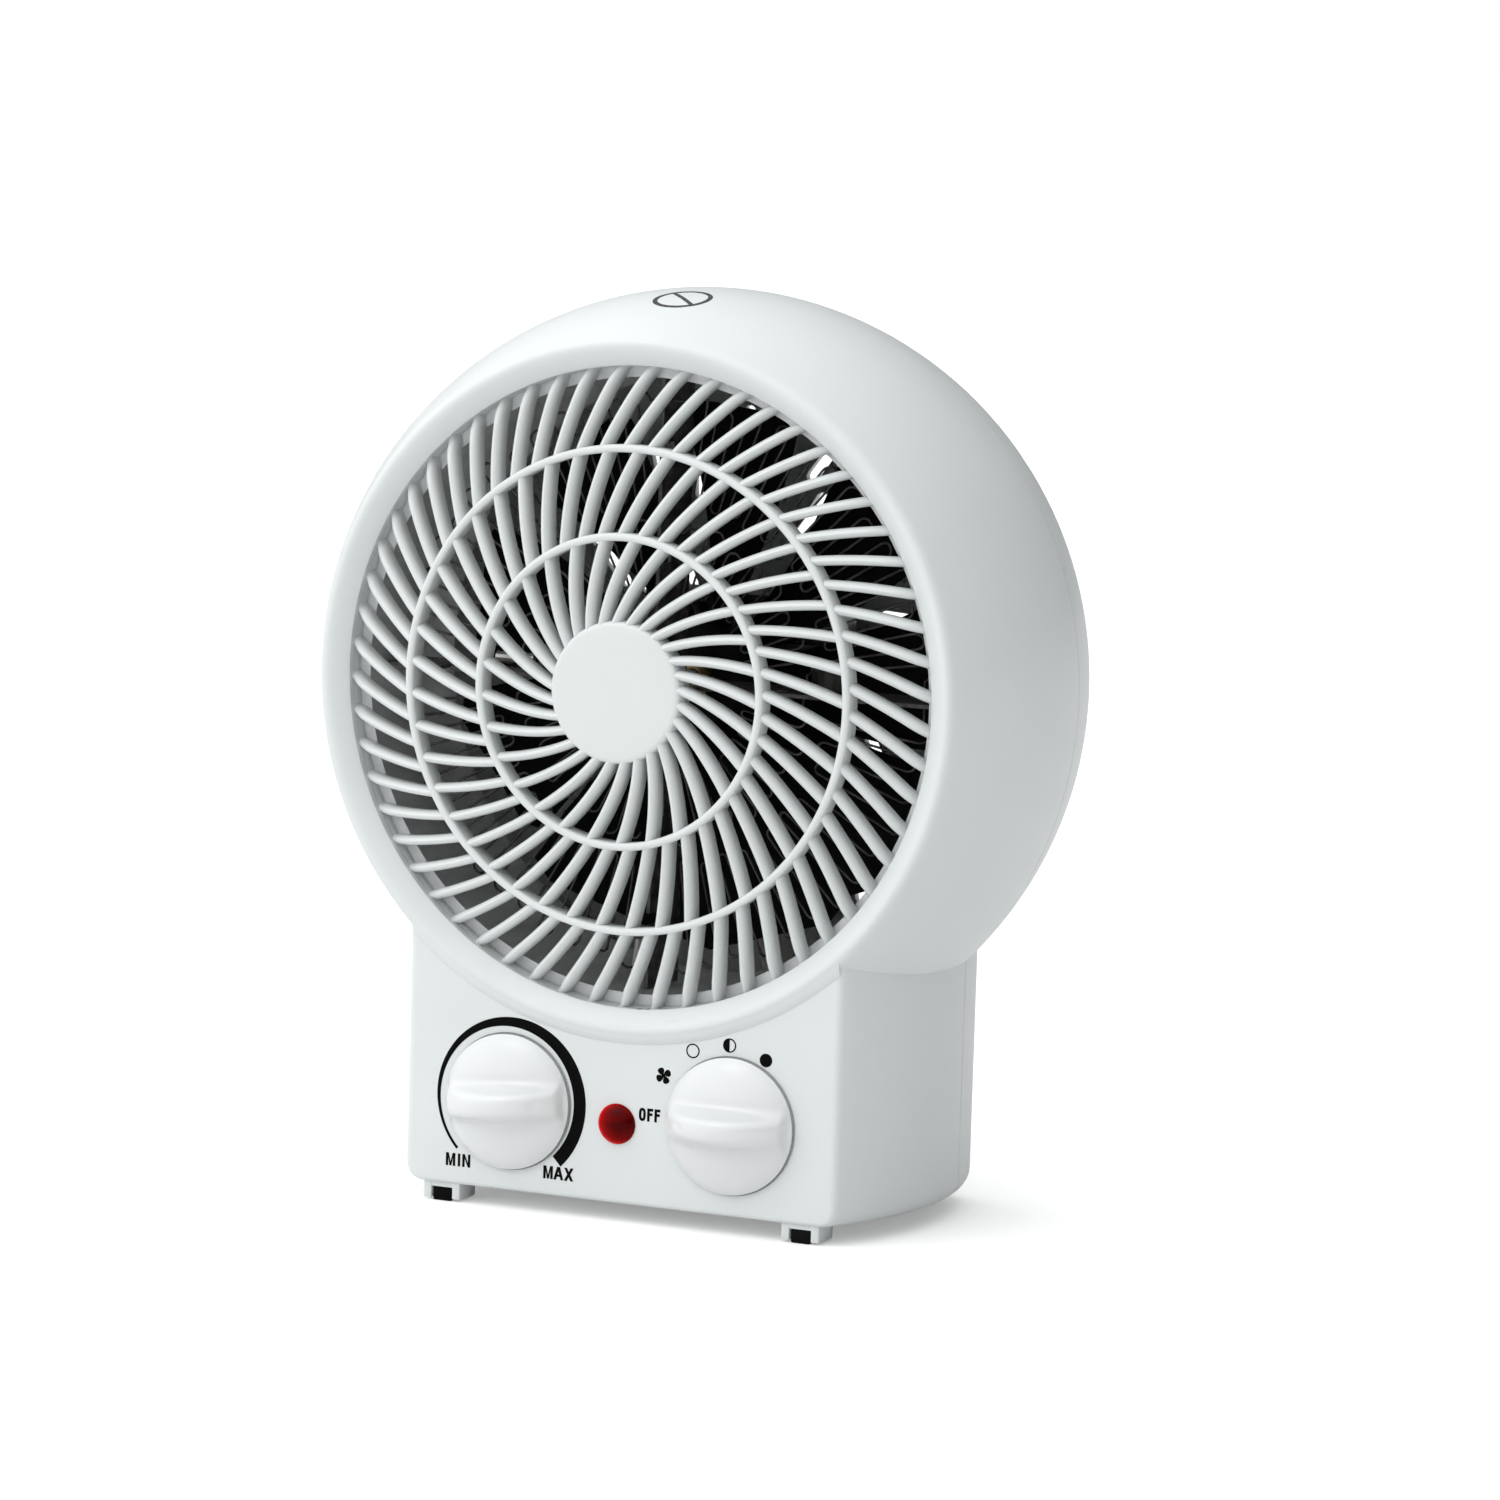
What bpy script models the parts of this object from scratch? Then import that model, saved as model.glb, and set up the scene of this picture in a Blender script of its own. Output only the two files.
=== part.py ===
"""A free-standing fan convector heater: a barrel-shaped drum on a low control base.

World frame: +Z up, the control panel faces -Y, and the origin is on the floor under the object's middle.
Every helper takes metres. MM turns the millimetre figures of the driving dimensions into metres.
"""

import math

import bmesh
import bpy
from mathutils import Matrix, Vector

MM = 0.001

# Drum: a turned barrel whose axis runs along Y.
DRUM_Z = 138.5 * MM
DRUM_RADIUS = 101.5 * MM
BARREL_ARC = 90.0 * MM
BARREL_MID_Y = 3.0 * MM
RIM_Y = -42.5 * MM
LIP_Y = -39.0 * MM
LIP_RADIUS = 82.7 * MM
FLANGE_BACK_Y = -36.3 * MM
SEAM_Y = 15.5 * MM
BACK_Y = 53.4 * MM
SHOULDER_Y = 47.0 * MM
BACK_FLAT_RADIUS = 78.0 * MM
DRUM_SEGMENTS = 48

# Base: its sides follow the barrel curve, moved inwards.
BASE_INSET = 28.9 * MM
PANEL_Y = -40.8 * MM
BASE_BACK_Y = 46.0 * MM
BASE_BOTTOM_Z = 5.0 * MM
BASE_TOP_Z = DRUM_Z - 40.0 * MM
BASE_EDGE_ROUND = 4.6 * MM
PANEL_EDGE_ROUND = 1.2 * MM
FRONT_CORNER = 1.6 * MM
REAR_CORNER = 9.0 * MM

WALL = 2.4 * MM
GAP = 0.3 * MM
PANEL_BACK_Y = PANEL_Y + WALL

# Grille: three rings of leaning ribs on a shallow dome.
HUB_Y = -50.9 * MM
HUB_RADIUS = 17.6 * MM
DOME_RISE = 11.9 * MM
DOME_POWER = 2.5
RIB_WIDTH = 2.3 * MM
RIB_DEPTH = 5.0 * MM
RING_WIDTH = 2.0 * MM
RING_PROUD = 0.5 * MM
RING_RADII = (39.5 * MM, 61.9 * MM)
GRILLE_WALL = (80.4 * MM, LIP_RADIUS - GAP)
RIB_ZONES = (
    # ribs, start radius, end radius, first rib's angle in degrees, lean (tangent to the radius), steps
    (29, 18.4 * MM, 39.2 * MM, 4.8, 0.43, 2),
    (45, 39.9 * MM, 61.6 * MM, 3.1, 0.43, 1),
    (58, 62.2 * MM, 81.2 * MM, -1.5, 0.56, 1),
)

# Controls on the panel.
DIAL_X = 31.8 * MM
DIAL_Z = 28.65 * MM
KNOB_RADIUS = 17.7 * MM
KNOB_HEIGHT = 12.6 * MM
KNOB_CLEARANCE = 0.6 * MM
RIDGE_WIDTH = 8.0 * MM
SPINDLE_RADIUS = 3.0 * MM
NECK_RADIUS = 4.0 * MM
THERMOSTAT_REST_DEG = 5.0
LAMP_X = -0.5 * MM
LAMP_Z = 25.9 * MM
LAMP_RADIUS = 5.3 * MM

# Airway.
DUCT_RADII = (79.6 * MM, 81.0 * MM)
DUCT_Y = (-33.2 * MM, 14.0 * MM)
FLANGE_RADIUS = 88.0 * MM
MICA_Y = (-27.0 * MM, -9.0 * MM)
MICA_HALF = 79.2 * MM
MICA_THICK = 1.0 * MM
COIL_Y = -22.0 * MM
COIL_WIRE = 0.6 * MM
COILS = {
    # inner radius, outer radius, waves in each quarter
    "heating_coil_outer": (50.0 * MM, 72.0 * MM, 12),
    "heating_coil_inner": (24.0 * MM, 42.0 * MM, 7),
}
IMPELLER_Y = 7.0 * MM
IMPELLER_BLADES = 9
BLADE_STATIONS = (
    # radius in mm, chord in mm, pitch in degrees
    (12.5, 12.0, 44.0),
    (40.0, 30.5, 32.0),
    (71.0, 47.5, 19.0),
)

# Motor, behind the impeller.
SHAFT_RADIUS = 2.3 * MM
CORE_Y = (24.0 * MM, 39.0 * MM)
CORE_HALF_WIDTH = 27.0 * MM
BORE_RADIUS = 12.3 * MM
CORE_LOW_Z = DRUM_Z - 42.0 * MM
LEG_HIGH_Z = DRUM_Z - 33.0 * MM
MOTOR_SCREWS = ((-23.0 * MM, DRUM_Z), (23.0 * MM, DRUM_Z))
MOTOR_HOLE = 2.0 * MM
SPIN_CENTRE = (0.0, IMPELLER_Y, DRUM_Z)

# Feet and fasteners.
FOOT_X = 51.5 * MM
FOOT_WIDTH = 9.6 * MM
FOOT_LENGTH = 12.0 * MM
FOOT_LIFT = 0.6 * MM
PAD_SIZE = (5.4 * MM, 8.6 * MM, 4.4 * MM)
BOSS_RADIUS = 4.2 * MM
PILOT_RADIUS = 1.9 * MM
BOSS_RING = 93.0 * MM
BOSS_ANGLES = (38.0, 142.0, 200.0, 340.0)
BASE_BOSS = (52.0 * MM, 14.5 * MM)
GLAND_X = 30.0 * MM
GLAND_Z = 24.0 * MM
CORD_BORE_RADIUS = 3.5 * MM

# Leads, in millimetres. Each ends just short of its terminals.
LEADS = {
    "lead_supply": (
        "lead_brown",
        [(-8, 18.6, 13), (0, 14.5, 13), (14, 13, 13), (27, 0, 17), (30, -14, 22), (30, -18.6, 23)],
    ),
    "lead_thermostat": (
        "lead_brown",
        [(16.4, -28, 28), (13, -27, 30), (0, -22, 36), (-13, -27, 31), (-18.3, -30, 28)],
    ),
    "lead_element": (
        "lead_white",
        [(32, -18.6, 32), (28, -14, 38), (6, -13, 48), (-8.5, -14, 57), (-8.5, -14, 70)],
    ),
    "lead_motor": (
        "lead_white",
        [(26, -18.6, 26), (25, -8, 28), (18, 18, 46), (8, 26, 66), (4, 30, 87)],
    ),
}

# Tilt switch: its plunger is held up by the floor.
TILT_Y = 2.0 * MM
PLUNGER_RADIUS = 2.4 * MM


# ---------------------------------------------------------------- scene and materials


def clear_scene():
    for obj in list(bpy.data.objects):
        bpy.data.objects.remove(obj)


def new_collection(name):
    made = bpy.data.collections.new(name)
    bpy.context.scene.collection.children.link(made)
    return made


def material(name, colour, roughness, metallic=0.0):
    made = bpy.data.materials.new(name)
    made.use_nodes = True
    shader = made.node_tree.nodes["Principled BSDF"]
    shader.inputs["Base Color"].default_value = (*colour, 1.0)
    shader.inputs["Roughness"].default_value = roughness
    shader.inputs["Metallic"].default_value = metallic
    return made


clear_scene()
HEATER = new_collection("fan_convector_heater")
WORKSHOP = new_collection("cutters")

MATERIALS = {
    "housing_white": material("housing_white", (0.80, 0.82, 0.82), 0.38),
    "grille_white": material("grille_white", (0.82, 0.84, 0.84), 0.35),
    "knob_white": material("knob_white", (0.85, 0.86, 0.87), 0.22),
    "lamp_red": material("lamp_red", (0.55, 0.01, 0.02), 0.12),
    "rubber_black": material("rubber_black", (0.015, 0.015, 0.016), 0.8),
    "plastic_black": material("plastic_black", (0.03, 0.03, 0.03), 0.5),
    "duct_steel": material("duct_steel", (0.62, 0.63, 0.64), 0.3, 1.0),
    "mica": material("mica", (0.72, 0.68, 0.60), 0.45),
    "coil_wire": material("coil_wire", (0.35, 0.33, 0.32), 0.35, 1.0),
    "core_steel": material("core_steel", (0.40, 0.41, 0.43), 0.4, 1.0),
    "winding": material("winding", (0.45, 0.16, 0.06), 0.4, 0.6),
    "brass": material("brass", (0.72, 0.52, 0.24), 0.3, 1.0),
    "screw_zinc": material("screw_zinc", (0.66, 0.67, 0.68), 0.3, 1.0),
    "lead_white": material("lead_white", (0.75, 0.74, 0.72), 0.5),
    "lead_brown": material("lead_brown", (0.25, 0.11, 0.05), 0.5),
}


# ---------------------------------------------------------------- modelling helpers


def mesh_object(name, bm, face_out=True):
    if face_out:
        bmesh.ops.recalc_face_normals(bm, faces=bm.faces)
    mesh = bpy.data.meshes.new(name)
    bm.to_mesh(mesh)
    bm.free()
    obj = bpy.data.objects.new(name, mesh)
    WORKSHOP.objects.link(obj)
    return obj


def bake(obj, weld=1e-6, face_out=True):
    """Replaces the object by its evaluated mesh, welded."""
    bpy.context.view_layer.update()
    graph = bpy.context.evaluated_depsgraph_get()
    mesh = bpy.data.meshes.new_from_object(obj.evaluated_get(graph))
    bm = bmesh.new()
    bm.from_mesh(mesh)
    bmesh.ops.transform(bm, matrix=obj.matrix_world, verts=bm.verts)
    bmesh.ops.remove_doubles(bm, verts=bm.verts, dist=weld)
    name = obj.name
    bpy.data.objects.remove(obj)
    bpy.data.meshes.remove(mesh)
    return mesh_object(name, bm, face_out)


def box(low, high, name="box"):
    low, high = Vector(low), Vector(high)
    bm = bmesh.new()
    bmesh.ops.create_cube(bm, size=1.0)
    size = Matrix.Diagonal((*(high - low), 1.0))
    bmesh.ops.transform(bm, matrix=Matrix.Translation((low + high) / 2) @ size, verts=bm.verts)
    return mesh_object(name, bm)


AXIS_TURNS = {
    "X": Matrix.Rotation(math.radians(90), 4, "Y"),
    "Y": Matrix.Rotation(math.radians(-90), 4, "X"),
    "Z": Matrix.Identity(4),
}


def turned(profile, x=0.0, z=0.0, segments=24, name="turned", ring=False):
    """A profile of (radius, y) points, turned about a line along Y. A ring's profile is a closed loop."""
    bm = bmesh.new()
    verts = [bm.verts.new((radius, 0.0, y)) for radius, y in profile]
    ends = verts + verts[:1] if ring else verts
    for a, b in zip(ends, ends[1:]):
        bm.edges.new((a, b))
    obj = mesh_object(name, bm)
    screw = obj.modifiers.new("turn", "SCREW")
    screw.steps = screw.render_steps = segments
    screw.use_merge_vertices = True
    screw.merge_threshold = 1e-5
    obj.matrix_world = Matrix.Translation((x, 0.0, z)) @ AXIS_TURNS["Y"]
    return bake(obj)


def rod(radius, start, end, axis="Y", segments=16, name="rod"):
    """A round rod along one axis, from start to end."""
    start, end = Vector(start), Vector(end)
    bm = bmesh.new()
    length = (end - start).length
    bmesh.ops.create_cone(
        bm, cap_ends=True, segments=segments, radius1=radius, radius2=radius, depth=length
    )
    matrix = Matrix.Translation((start + end) / 2) @ AXIS_TURNS[axis]
    bmesh.ops.transform(bm, matrix=matrix, verts=bm.verts)
    return mesh_object(name, bm)


def pin(radius, place, ys, segments=14):
    """A round rod along Y at place (x, z), between two values of y."""
    x, z = place
    return rod(radius, (x, ys[0], z), (x, ys[1], z), segments=segments)


def block(xs, ys, zs):
    """A box given by its range on each axis."""
    return box((xs[0], ys[0], zs[0]), (xs[1], ys[1], zs[1]))


def around(middle, half):
    return (middle - half, middle + half)


def lofted(loops, name="loft"):
    """A closed solid through loops that have the same number of points."""
    bm = bmesh.new()
    rows = [[bm.verts.new(point) for point in loop] for loop in loops]
    for low, high in zip(rows, rows[1:]):
        for i in range(len(low)):
            j = (i + 1) % len(low)
            bm.faces.new((low[i], low[j], high[j], high[i]))
    bm.faces.new(rows[0])
    bm.faces.new(rows[-1])
    return mesh_object(name, bm)


def tube(points, radius, name="tube", resolution=0):
    """A round wire along straight stretches between points."""
    curve = bpy.data.curves.new(name, "CURVE")
    curve.dimensions = "3D"
    curve.bevel_depth = radius
    curve.bevel_resolution = resolution
    curve.use_fill_caps = True
    spline = curve.splines.new("POLY")
    spline.points.add(len(points) - 1)
    for point, place in zip(spline.points, points):
        point.co = (*place, 1.0)
    obj = bpy.data.objects.new(name, curve)
    WORKSHOP.objects.link(obj)
    return bake(obj, weld=1e-5)


def combine(target, others, operation):
    """Applies one Boolean for each other object, and removes it."""
    for other in others:
        modifier = target.modifiers.new("combine", "BOOLEAN")
        modifier.operation = operation
        modifier.object = other
        modifier.solver = "EXACT"
        target = bake(target, face_out=False)
        bpy.data.objects.remove(other)
    return target


def cut(target, *others):
    return combine(target, others, "DIFFERENCE")


def join(target, *others):
    return combine(target, others, "UNION")


def common(target, *others):
    return combine(target, others, "INTERSECT")


def gather(objects, name="gathered"):
    """Several bodies that don't touch each other, as one mesh."""
    bm = bmesh.new()
    for obj in objects:
        bm.from_mesh(obj.data)
        bpy.data.objects.remove(obj)
    return mesh_object(name, bm)


def copy_of(obj):
    made = obj.copy()
    made.data = obj.data.copy()
    WORKSHOP.objects.link(made)
    return made


def mirrored(obj, name=None):
    """The object's mirror image across the plane x = 0."""
    made = copy_of(obj)
    made.data.transform(Matrix.Diagonal((-1.0, 1.0, 1.0, 1.0)))
    bm = bmesh.new()
    bm.from_mesh(made.data)
    bpy.data.objects.remove(made)
    return mesh_object(name or obj.name, bm)


def part(name, obj, finish, origin=(0.0, 0.0, 0.0)):
    """Files a finished piece under its own name, material and origin."""
    obj.name = name
    obj.data.name = name
    obj.data.materials.clear()
    obj.data.materials.append(MATERIALS[finish])
    obj.data.transform(Matrix.Translation(-Vector(origin)))
    obj.location = origin
    obj.data.shade_smooth()
    obj.data.set_sharp_from_angle(angle=math.radians(32))
    WORKSHOP.objects.unlink(obj)
    HEATER.objects.link(obj)
    return obj


# ---------------------------------------------------------------- shared curves


def bend(start, corner, end, steps):
    """Points of a quadratic curve that leaves start and reaches end along their lines to the corner."""
    start, corner, end = Vector(start), Vector(corner), Vector(end)
    shares = [(i + 1) / (steps + 1) for i in range(steps)]
    return [tuple((1 - t) ** 2 * start + 2 * t * (1 - t) * corner + t**2 * end) for t in shares]


def barrel(y):
    """The drum's outer radius at y, on one arc that is widest at BARREL_MID_Y."""
    return DRUM_RADIUS - BARREL_ARC + math.sqrt(BARREL_ARC**2 - (y - BARREL_MID_Y) ** 2)


def spread(low, high, steps):
    return [low + (high - low) * i / steps for i in range(steps + 1)]


def shoulder(inset):
    """The drum's rounding from the barrel to the flat back."""
    start = (barrel(SHOULDER_Y) - inset, SHOULDER_Y - inset / 2)
    end = (BACK_FLAT_RADIUS - inset, BACK_Y - inset)
    corner = (start[0] - 4.2 * MM, end[1])
    return [start, *bend(start, corner, end, 3), end]


def drum_solid(inset=0.0):
    """The drum as a full solid, or its hollow where inset is the wall's thickness."""
    if inset:
        front = [(0.0, FLANGE_BACK_Y)]
        first_y = FLANGE_BACK_Y
    else:
        nose = bend((86.4 * MM, -41.9 * MM), (88.6 * MM, -43.1 * MM), (90.6 * MM, -40.0 * MM), 2)
        front = [(0.0, LIP_Y), (LIP_RADIUS, LIP_Y), (86.4 * MM, -41.9 * MM), *nose]
        first_y = -40.0 * MM
    sides = [(barrel(y) - inset, y) for y in spread(first_y, SHOULDER_Y - 4 * MM, 5)]
    profile = [*front, *sides, *shoulder(inset), (0.0, BACK_Y - inset)]
    return turned(profile, z=DRUM_Z, segments=DRUM_SEGMENTS)


def rounding(height, radius):
    """How far in a rounded edge of that radius still stands at a height above its foot."""
    return 0.0 if height >= radius else radius - math.sqrt(radius**2 - (radius - height) ** 2)


def base_outline(edge_in, panel_in):
    """The base from above, as (x, y) points all the way round, drawn in at its edges and its panel."""

    def side(y):
        return barrel(y) - BASE_INSET - edge_in

    front_y, back_y = PANEL_Y + panel_in, BASE_BACK_Y - edge_in
    front_start = (side(front_y) - FRONT_CORNER, front_y)
    front_end = (side(front_y + FRONT_CORNER), front_y + FRONT_CORNER)
    rear_y = back_y - REAR_CORNER
    rear_start = (side(rear_y), rear_y)
    rear_end = (side(back_y) - REAR_CORNER, back_y)
    right = [front_start, *bend(front_start, (side(front_y), front_y), front_end, 2)]
    right += [(side(y), y) for y in spread(front_end[1], rear_y, 5)]
    right += [*bend(rear_start, (side(back_y - 2 * MM), back_y), rear_end, 3), rear_end]
    return right + [(-x, y) for x, y in reversed(right)]


def base_solid(inset=0.0):
    """The base as a full solid with rounded lower edges, or its hollow."""
    heights = [0.0, 0.4 * MM, 1.3 * MM, 2.8 * MM, BASE_EDGE_ROUND, BASE_TOP_Z - BASE_BOTTOM_Z - inset]
    loops = []
    for height in heights:
        edge_in = inset + rounding(height, BASE_EDGE_ROUND - inset)
        panel_in = inset + rounding(height, max(PANEL_EDGE_ROUND - inset, 0.0))
        z = BASE_BOTTOM_Z + inset + height
        loops.append([(x, y, z) for x, y in base_outline(edge_in, panel_in)])
    return lofted(loops)


# ---------------------------------------------------------------- housings


def boss_places():
    """(x, z) of the six screws that hold the two housings together."""
    ring = [
        (BOSS_RING * math.cos(math.radians(a)), DRUM_Z + BOSS_RING * math.sin(math.radians(a)))
        for a in BOSS_ANGLES
    ]
    return [*ring, (-BASE_BOSS[0], BASE_BOSS[1]), (BASE_BOSS[0], BASE_BOSS[1])]


def drum_webs(y_low, y_high, reach):
    """Thin walls that carry the four drum bosses on the shell."""
    webs = []
    for angle in BOSS_ANGLES:
        web = box((BOSS_RING, y_low, -1.1 * MM), (reach, y_high, 1.1 * MM))
        turn = Matrix.Rotation(math.radians(-angle), 4, "Y")
        web.data.transform(Matrix.Translation((0, 0, DRUM_Z)) @ turn)
        webs.append(web)
    return webs


def hollow():
    """The space inside both housings. The lip's flange stays whole where the base meets it."""
    keep = rod(91.5 * MM, (0, -60 * MM, DRUM_Z), (0, FLANGE_BACK_Y, DRUM_Z), segments=48)
    return join(cut(base_solid(WALL), keep), drum_solid(WALL))


def grille_opening():
    """Cuts the funnel in front of the lip, and the opening itself."""
    front = -70 * MM
    profile = [
        (0.0, front),
        (87.2 * MM, front),
        (87.2 * MM, -42.3 * MM),
        (LIP_RADIUS, LIP_Y),
        (LIP_RADIUS, -30 * MM),
        (0.0, -30 * MM),
    ]
    return turned(profile, z=DRUM_Z, segments=DRUM_SEGMENTS)


def foot_shroud(side, front):
    """A U-shaped foot, open towards the front or the back, for a rubber pad."""
    outer_y = PANEL_Y + 1.2 * MM if front else BASE_BACK_Y - 1.2 * MM
    inward = 1 if front else -1
    half = FOOT_WIDTH / 2
    nose_y = outer_y + inward * (FOOT_LENGTH - half)
    arc = [
        (half * math.cos(a), nose_y + inward * half * math.sin(a)) for a in spread(0.0, math.pi, 6)
    ]
    outline = [(half, outer_y), *arc, (-half, outer_y)]
    x = side * FOOT_X
    levels = (FOOT_LIFT, BASE_BOTTOM_Z + WALL * 0.6)
    return lofted([[(x + px, py, z) for px, py in outline] for z in levels])


def pad_pocket(side, front):
    outer_y = PANEL_Y if front else BASE_BACK_Y
    inward = 1 if front else -1
    ys = sorted((outer_y - inward * 5 * MM, outer_y + inward * (PAD_SIZE[1] + 1.5 * MM)))
    half = PAD_SIZE[0] / 2 + GAP
    x = side * FOOT_X
    return box((x - half, ys[0], -1 * MM), (x + half, ys[1], PAD_SIZE[2] + GAP))


def foot_pad(side, front):
    outer_y = PANEL_Y + 1.5 * MM if front else BASE_BACK_Y - 1.5 * MM
    inward = 1 if front else -1
    ys = sorted((outer_y, outer_y + inward * (PAD_SIZE[1] - 0.6 * MM)))
    half = PAD_SIZE[0] / 2
    x = side * FOOT_X
    return box((x - half, ys[0], 0.0), (x + half, ys[1], PAD_SIZE[2]))


def with_feet(shell, front):
    shell = join(shell, *[foot_shroud(side, front) for side in (-1, 1)])
    return cut(shell, *[pad_pocket(side, front) for side in (-1, 1)])


def front_housing(shell):
    shell = common(shell, box((-0.2, -0.1, -0.1), (0.2, SEAM_Y - GAP / 2, 0.3)))
    places = boss_places()
    y_high = SEAM_Y - GAP / 2
    y_low = -12 * MM
    rods = [pin(BOSS_RADIUS, place, (y_low, y_high), 12) for place in places[:4]]
    posts = [pin(BOSS_RADIUS, place, (PANEL_BACK_Y - 1 * MM, y_high), 12) for place in places[4:]]
    webs = drum_webs(y_low, y_high, 99.4 * MM)
    shell = join(shell, *rods, *posts, *webs)
    pilots = [pin(PILOT_RADIUS, place, (-5 * MM, 30 * MM), 10) for place in places]
    shell = cut(shell, gather(pilots))
    through = (-60 * MM, PANEL_BACK_Y + 1 * MM)
    holes = [pin(NECK_RADIUS + GAP, (x, DIAL_Z), through, 20) for x in (-DIAL_X, DIAL_X)]
    lamp = pin(LAMP_RADIUS - 0.6 * MM, (LAMP_X, LAMP_Z), through, 20)
    shell = cut(shell, gather([*holes, lamp]))
    return with_feet(shell, front=True)


def intake_slots():
    """Leaning slots in the back wall, in two rings."""
    slots = []
    for count, inner, outer in ((18, 32 * MM, 46 * MM), (28, 49.5 * MM, 68 * MM)):
        middle = (inner + outer) / 2
        half = (outer - inner) / 2
        for i in range(count):
            slot = block(around(0, half), (45 * MM, 60 * MM), around(0, 1.8 * MM))
            lean = Matrix.Rotation(math.radians(24), 4, "Y")
            turn = Matrix.Rotation(2 * math.pi * i / count, 4, "Y")
            outwards = Matrix.Translation((middle, 0, 0)) @ lean
            slot.data.transform(Matrix.Translation((0, 0, DRUM_Z)) @ turn @ outwards)
            slots.append(slot)
    return gather(slots)


def rear_housing(shell):
    shell = common(shell, box((-0.2, SEAM_Y + GAP / 2, -0.1), (0.2, 0.1, 0.3)))
    shell = cut(shell, intake_slots())
    y_low = SEAM_Y + GAP / 2
    places = boss_places()
    skin = turned(
        [(0.0, -20 * MM)]
        + [(barrel(y) - WALL / 2, y) for y in spread(-20 * MM, SHOULDER_Y - 2 * MM, 6)]
        + [(80 * MM, BACK_Y - WALL / 2), (0.0, BACK_Y - WALL / 2)],
        z=DRUM_Z,
        segments=DRUM_SEGMENTS,
    )
    radius = BOSS_RADIUS + 0.8 * MM
    rods = [pin(radius, place, (y_low, 50 * MM)) for place in places[:4]]
    bosses = common(gather([*rods]), copy_of(skin))
    webs = common(gather(drum_webs(y_low, 26 * MM, 100.5 * MM)), skin)
    back = BASE_BACK_Y - WALL / 2
    posts = [pin(radius, place, (y_low, back)) for place in places[4:]]
    motor_posts = [pin(4.6 * MM, place, (42.6 * MM, BACK_Y - WALL / 2)) for place in MOTOR_SCREWS]
    shell = join(shell, bosses, webs, *posts, *motor_posts)
    holes = [pin(PILOT_RADIUS, place, (0, 30 * MM), 10) for place in places]
    shell = cut(shell, gather(holes))
    sinks = [pin(3.7 * MM, place, (22 * MM, 70 * MM)) for place in places]
    pilots = [pin(MOTOR_HOLE, place, (40 * MM, 51.5 * MM), 10) for place in MOTOR_SCREWS]
    inlet = pin(4.9 * MM, (GLAND_X, GLAND_Z), (40 * MM, 60 * MM), 20)
    shell = cut(shell, gather([*sinks, *pilots, inlet]))
    return with_feet(shell, front=False)


def plunger_rod(radius, zs):
    """A round rod along the line of the tilt switch's plunger."""
    return rod(radius, (0, TILT_Y, zs[0]), (0, TILT_Y, zs[1]), axis="Z", segments=16)


def housings():
    shell = cut(join(drum_solid(), base_solid()), grille_opening(), hollow())
    rear = rear_housing(copy_of(shell))
    front = front_housing(shell)
    front = cut(front, plunger_rod(PLUNGER_RADIUS + 0.5 * MM, (-5 * MM, 12 * MM)))
    part("front_housing", front, "housing_white")
    part("rear_housing", rear, "housing_white")
    for side, side_name in ((-1, "left"), (1, "right")):
        for front_end, end_name in ((True, "front"), (False, "rear")):
            part(f"foot_pad_{end_name}_{side_name}", foot_pad(side, front_end), "rubber_black")


def housing_screws():
    for i, (x, z) in enumerate(boss_places()):
        head_y = 22.4 * MM
        profile = [
            (0.0, -2 * MM),
            (1.5 * MM, -2 * MM),
            (1.5 * MM, head_y),
            (3.2 * MM, head_y),
            (3.2 * MM, head_y + 1.8 * MM),
            (0.0, head_y + 2.2 * MM),
        ]
        part(f"housing_screw_{i + 1}", turned(profile, x=x, z=z, segments=12), "screw_zinc")


# ---------------------------------------------------------------- front grille


def dome_y(radius):
    """How far forward the ribs' front edges are at this distance from the middle."""
    return HUB_Y + DOME_RISE * (radius / LIP_RADIUS) ** DOME_POWER


def rib(count, start, end, first, lean, steps, index):
    """One leaning rib, as a bar of rectangular section that follows the dome."""
    loops = []
    for radius in spread(start, end, steps):
        angle = math.radians(first) + 2 * math.pi * index / count - lean * math.log(radius / start)
        out = Vector((math.cos(angle), 0, math.sin(angle)))
        around = Vector((-math.sin(angle), 0, math.cos(angle)))
        across = (around + lean * out).normalized() * RIB_WIDTH / 2
        centre = radius * out + Vector((0, dome_y(radius), DRUM_Z))
        back = Vector((0, RIB_DEPTH, 0))
        loops.append([centre - across, centre + across, centre + across + back, centre - across + back])
    return lofted(loops)


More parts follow.
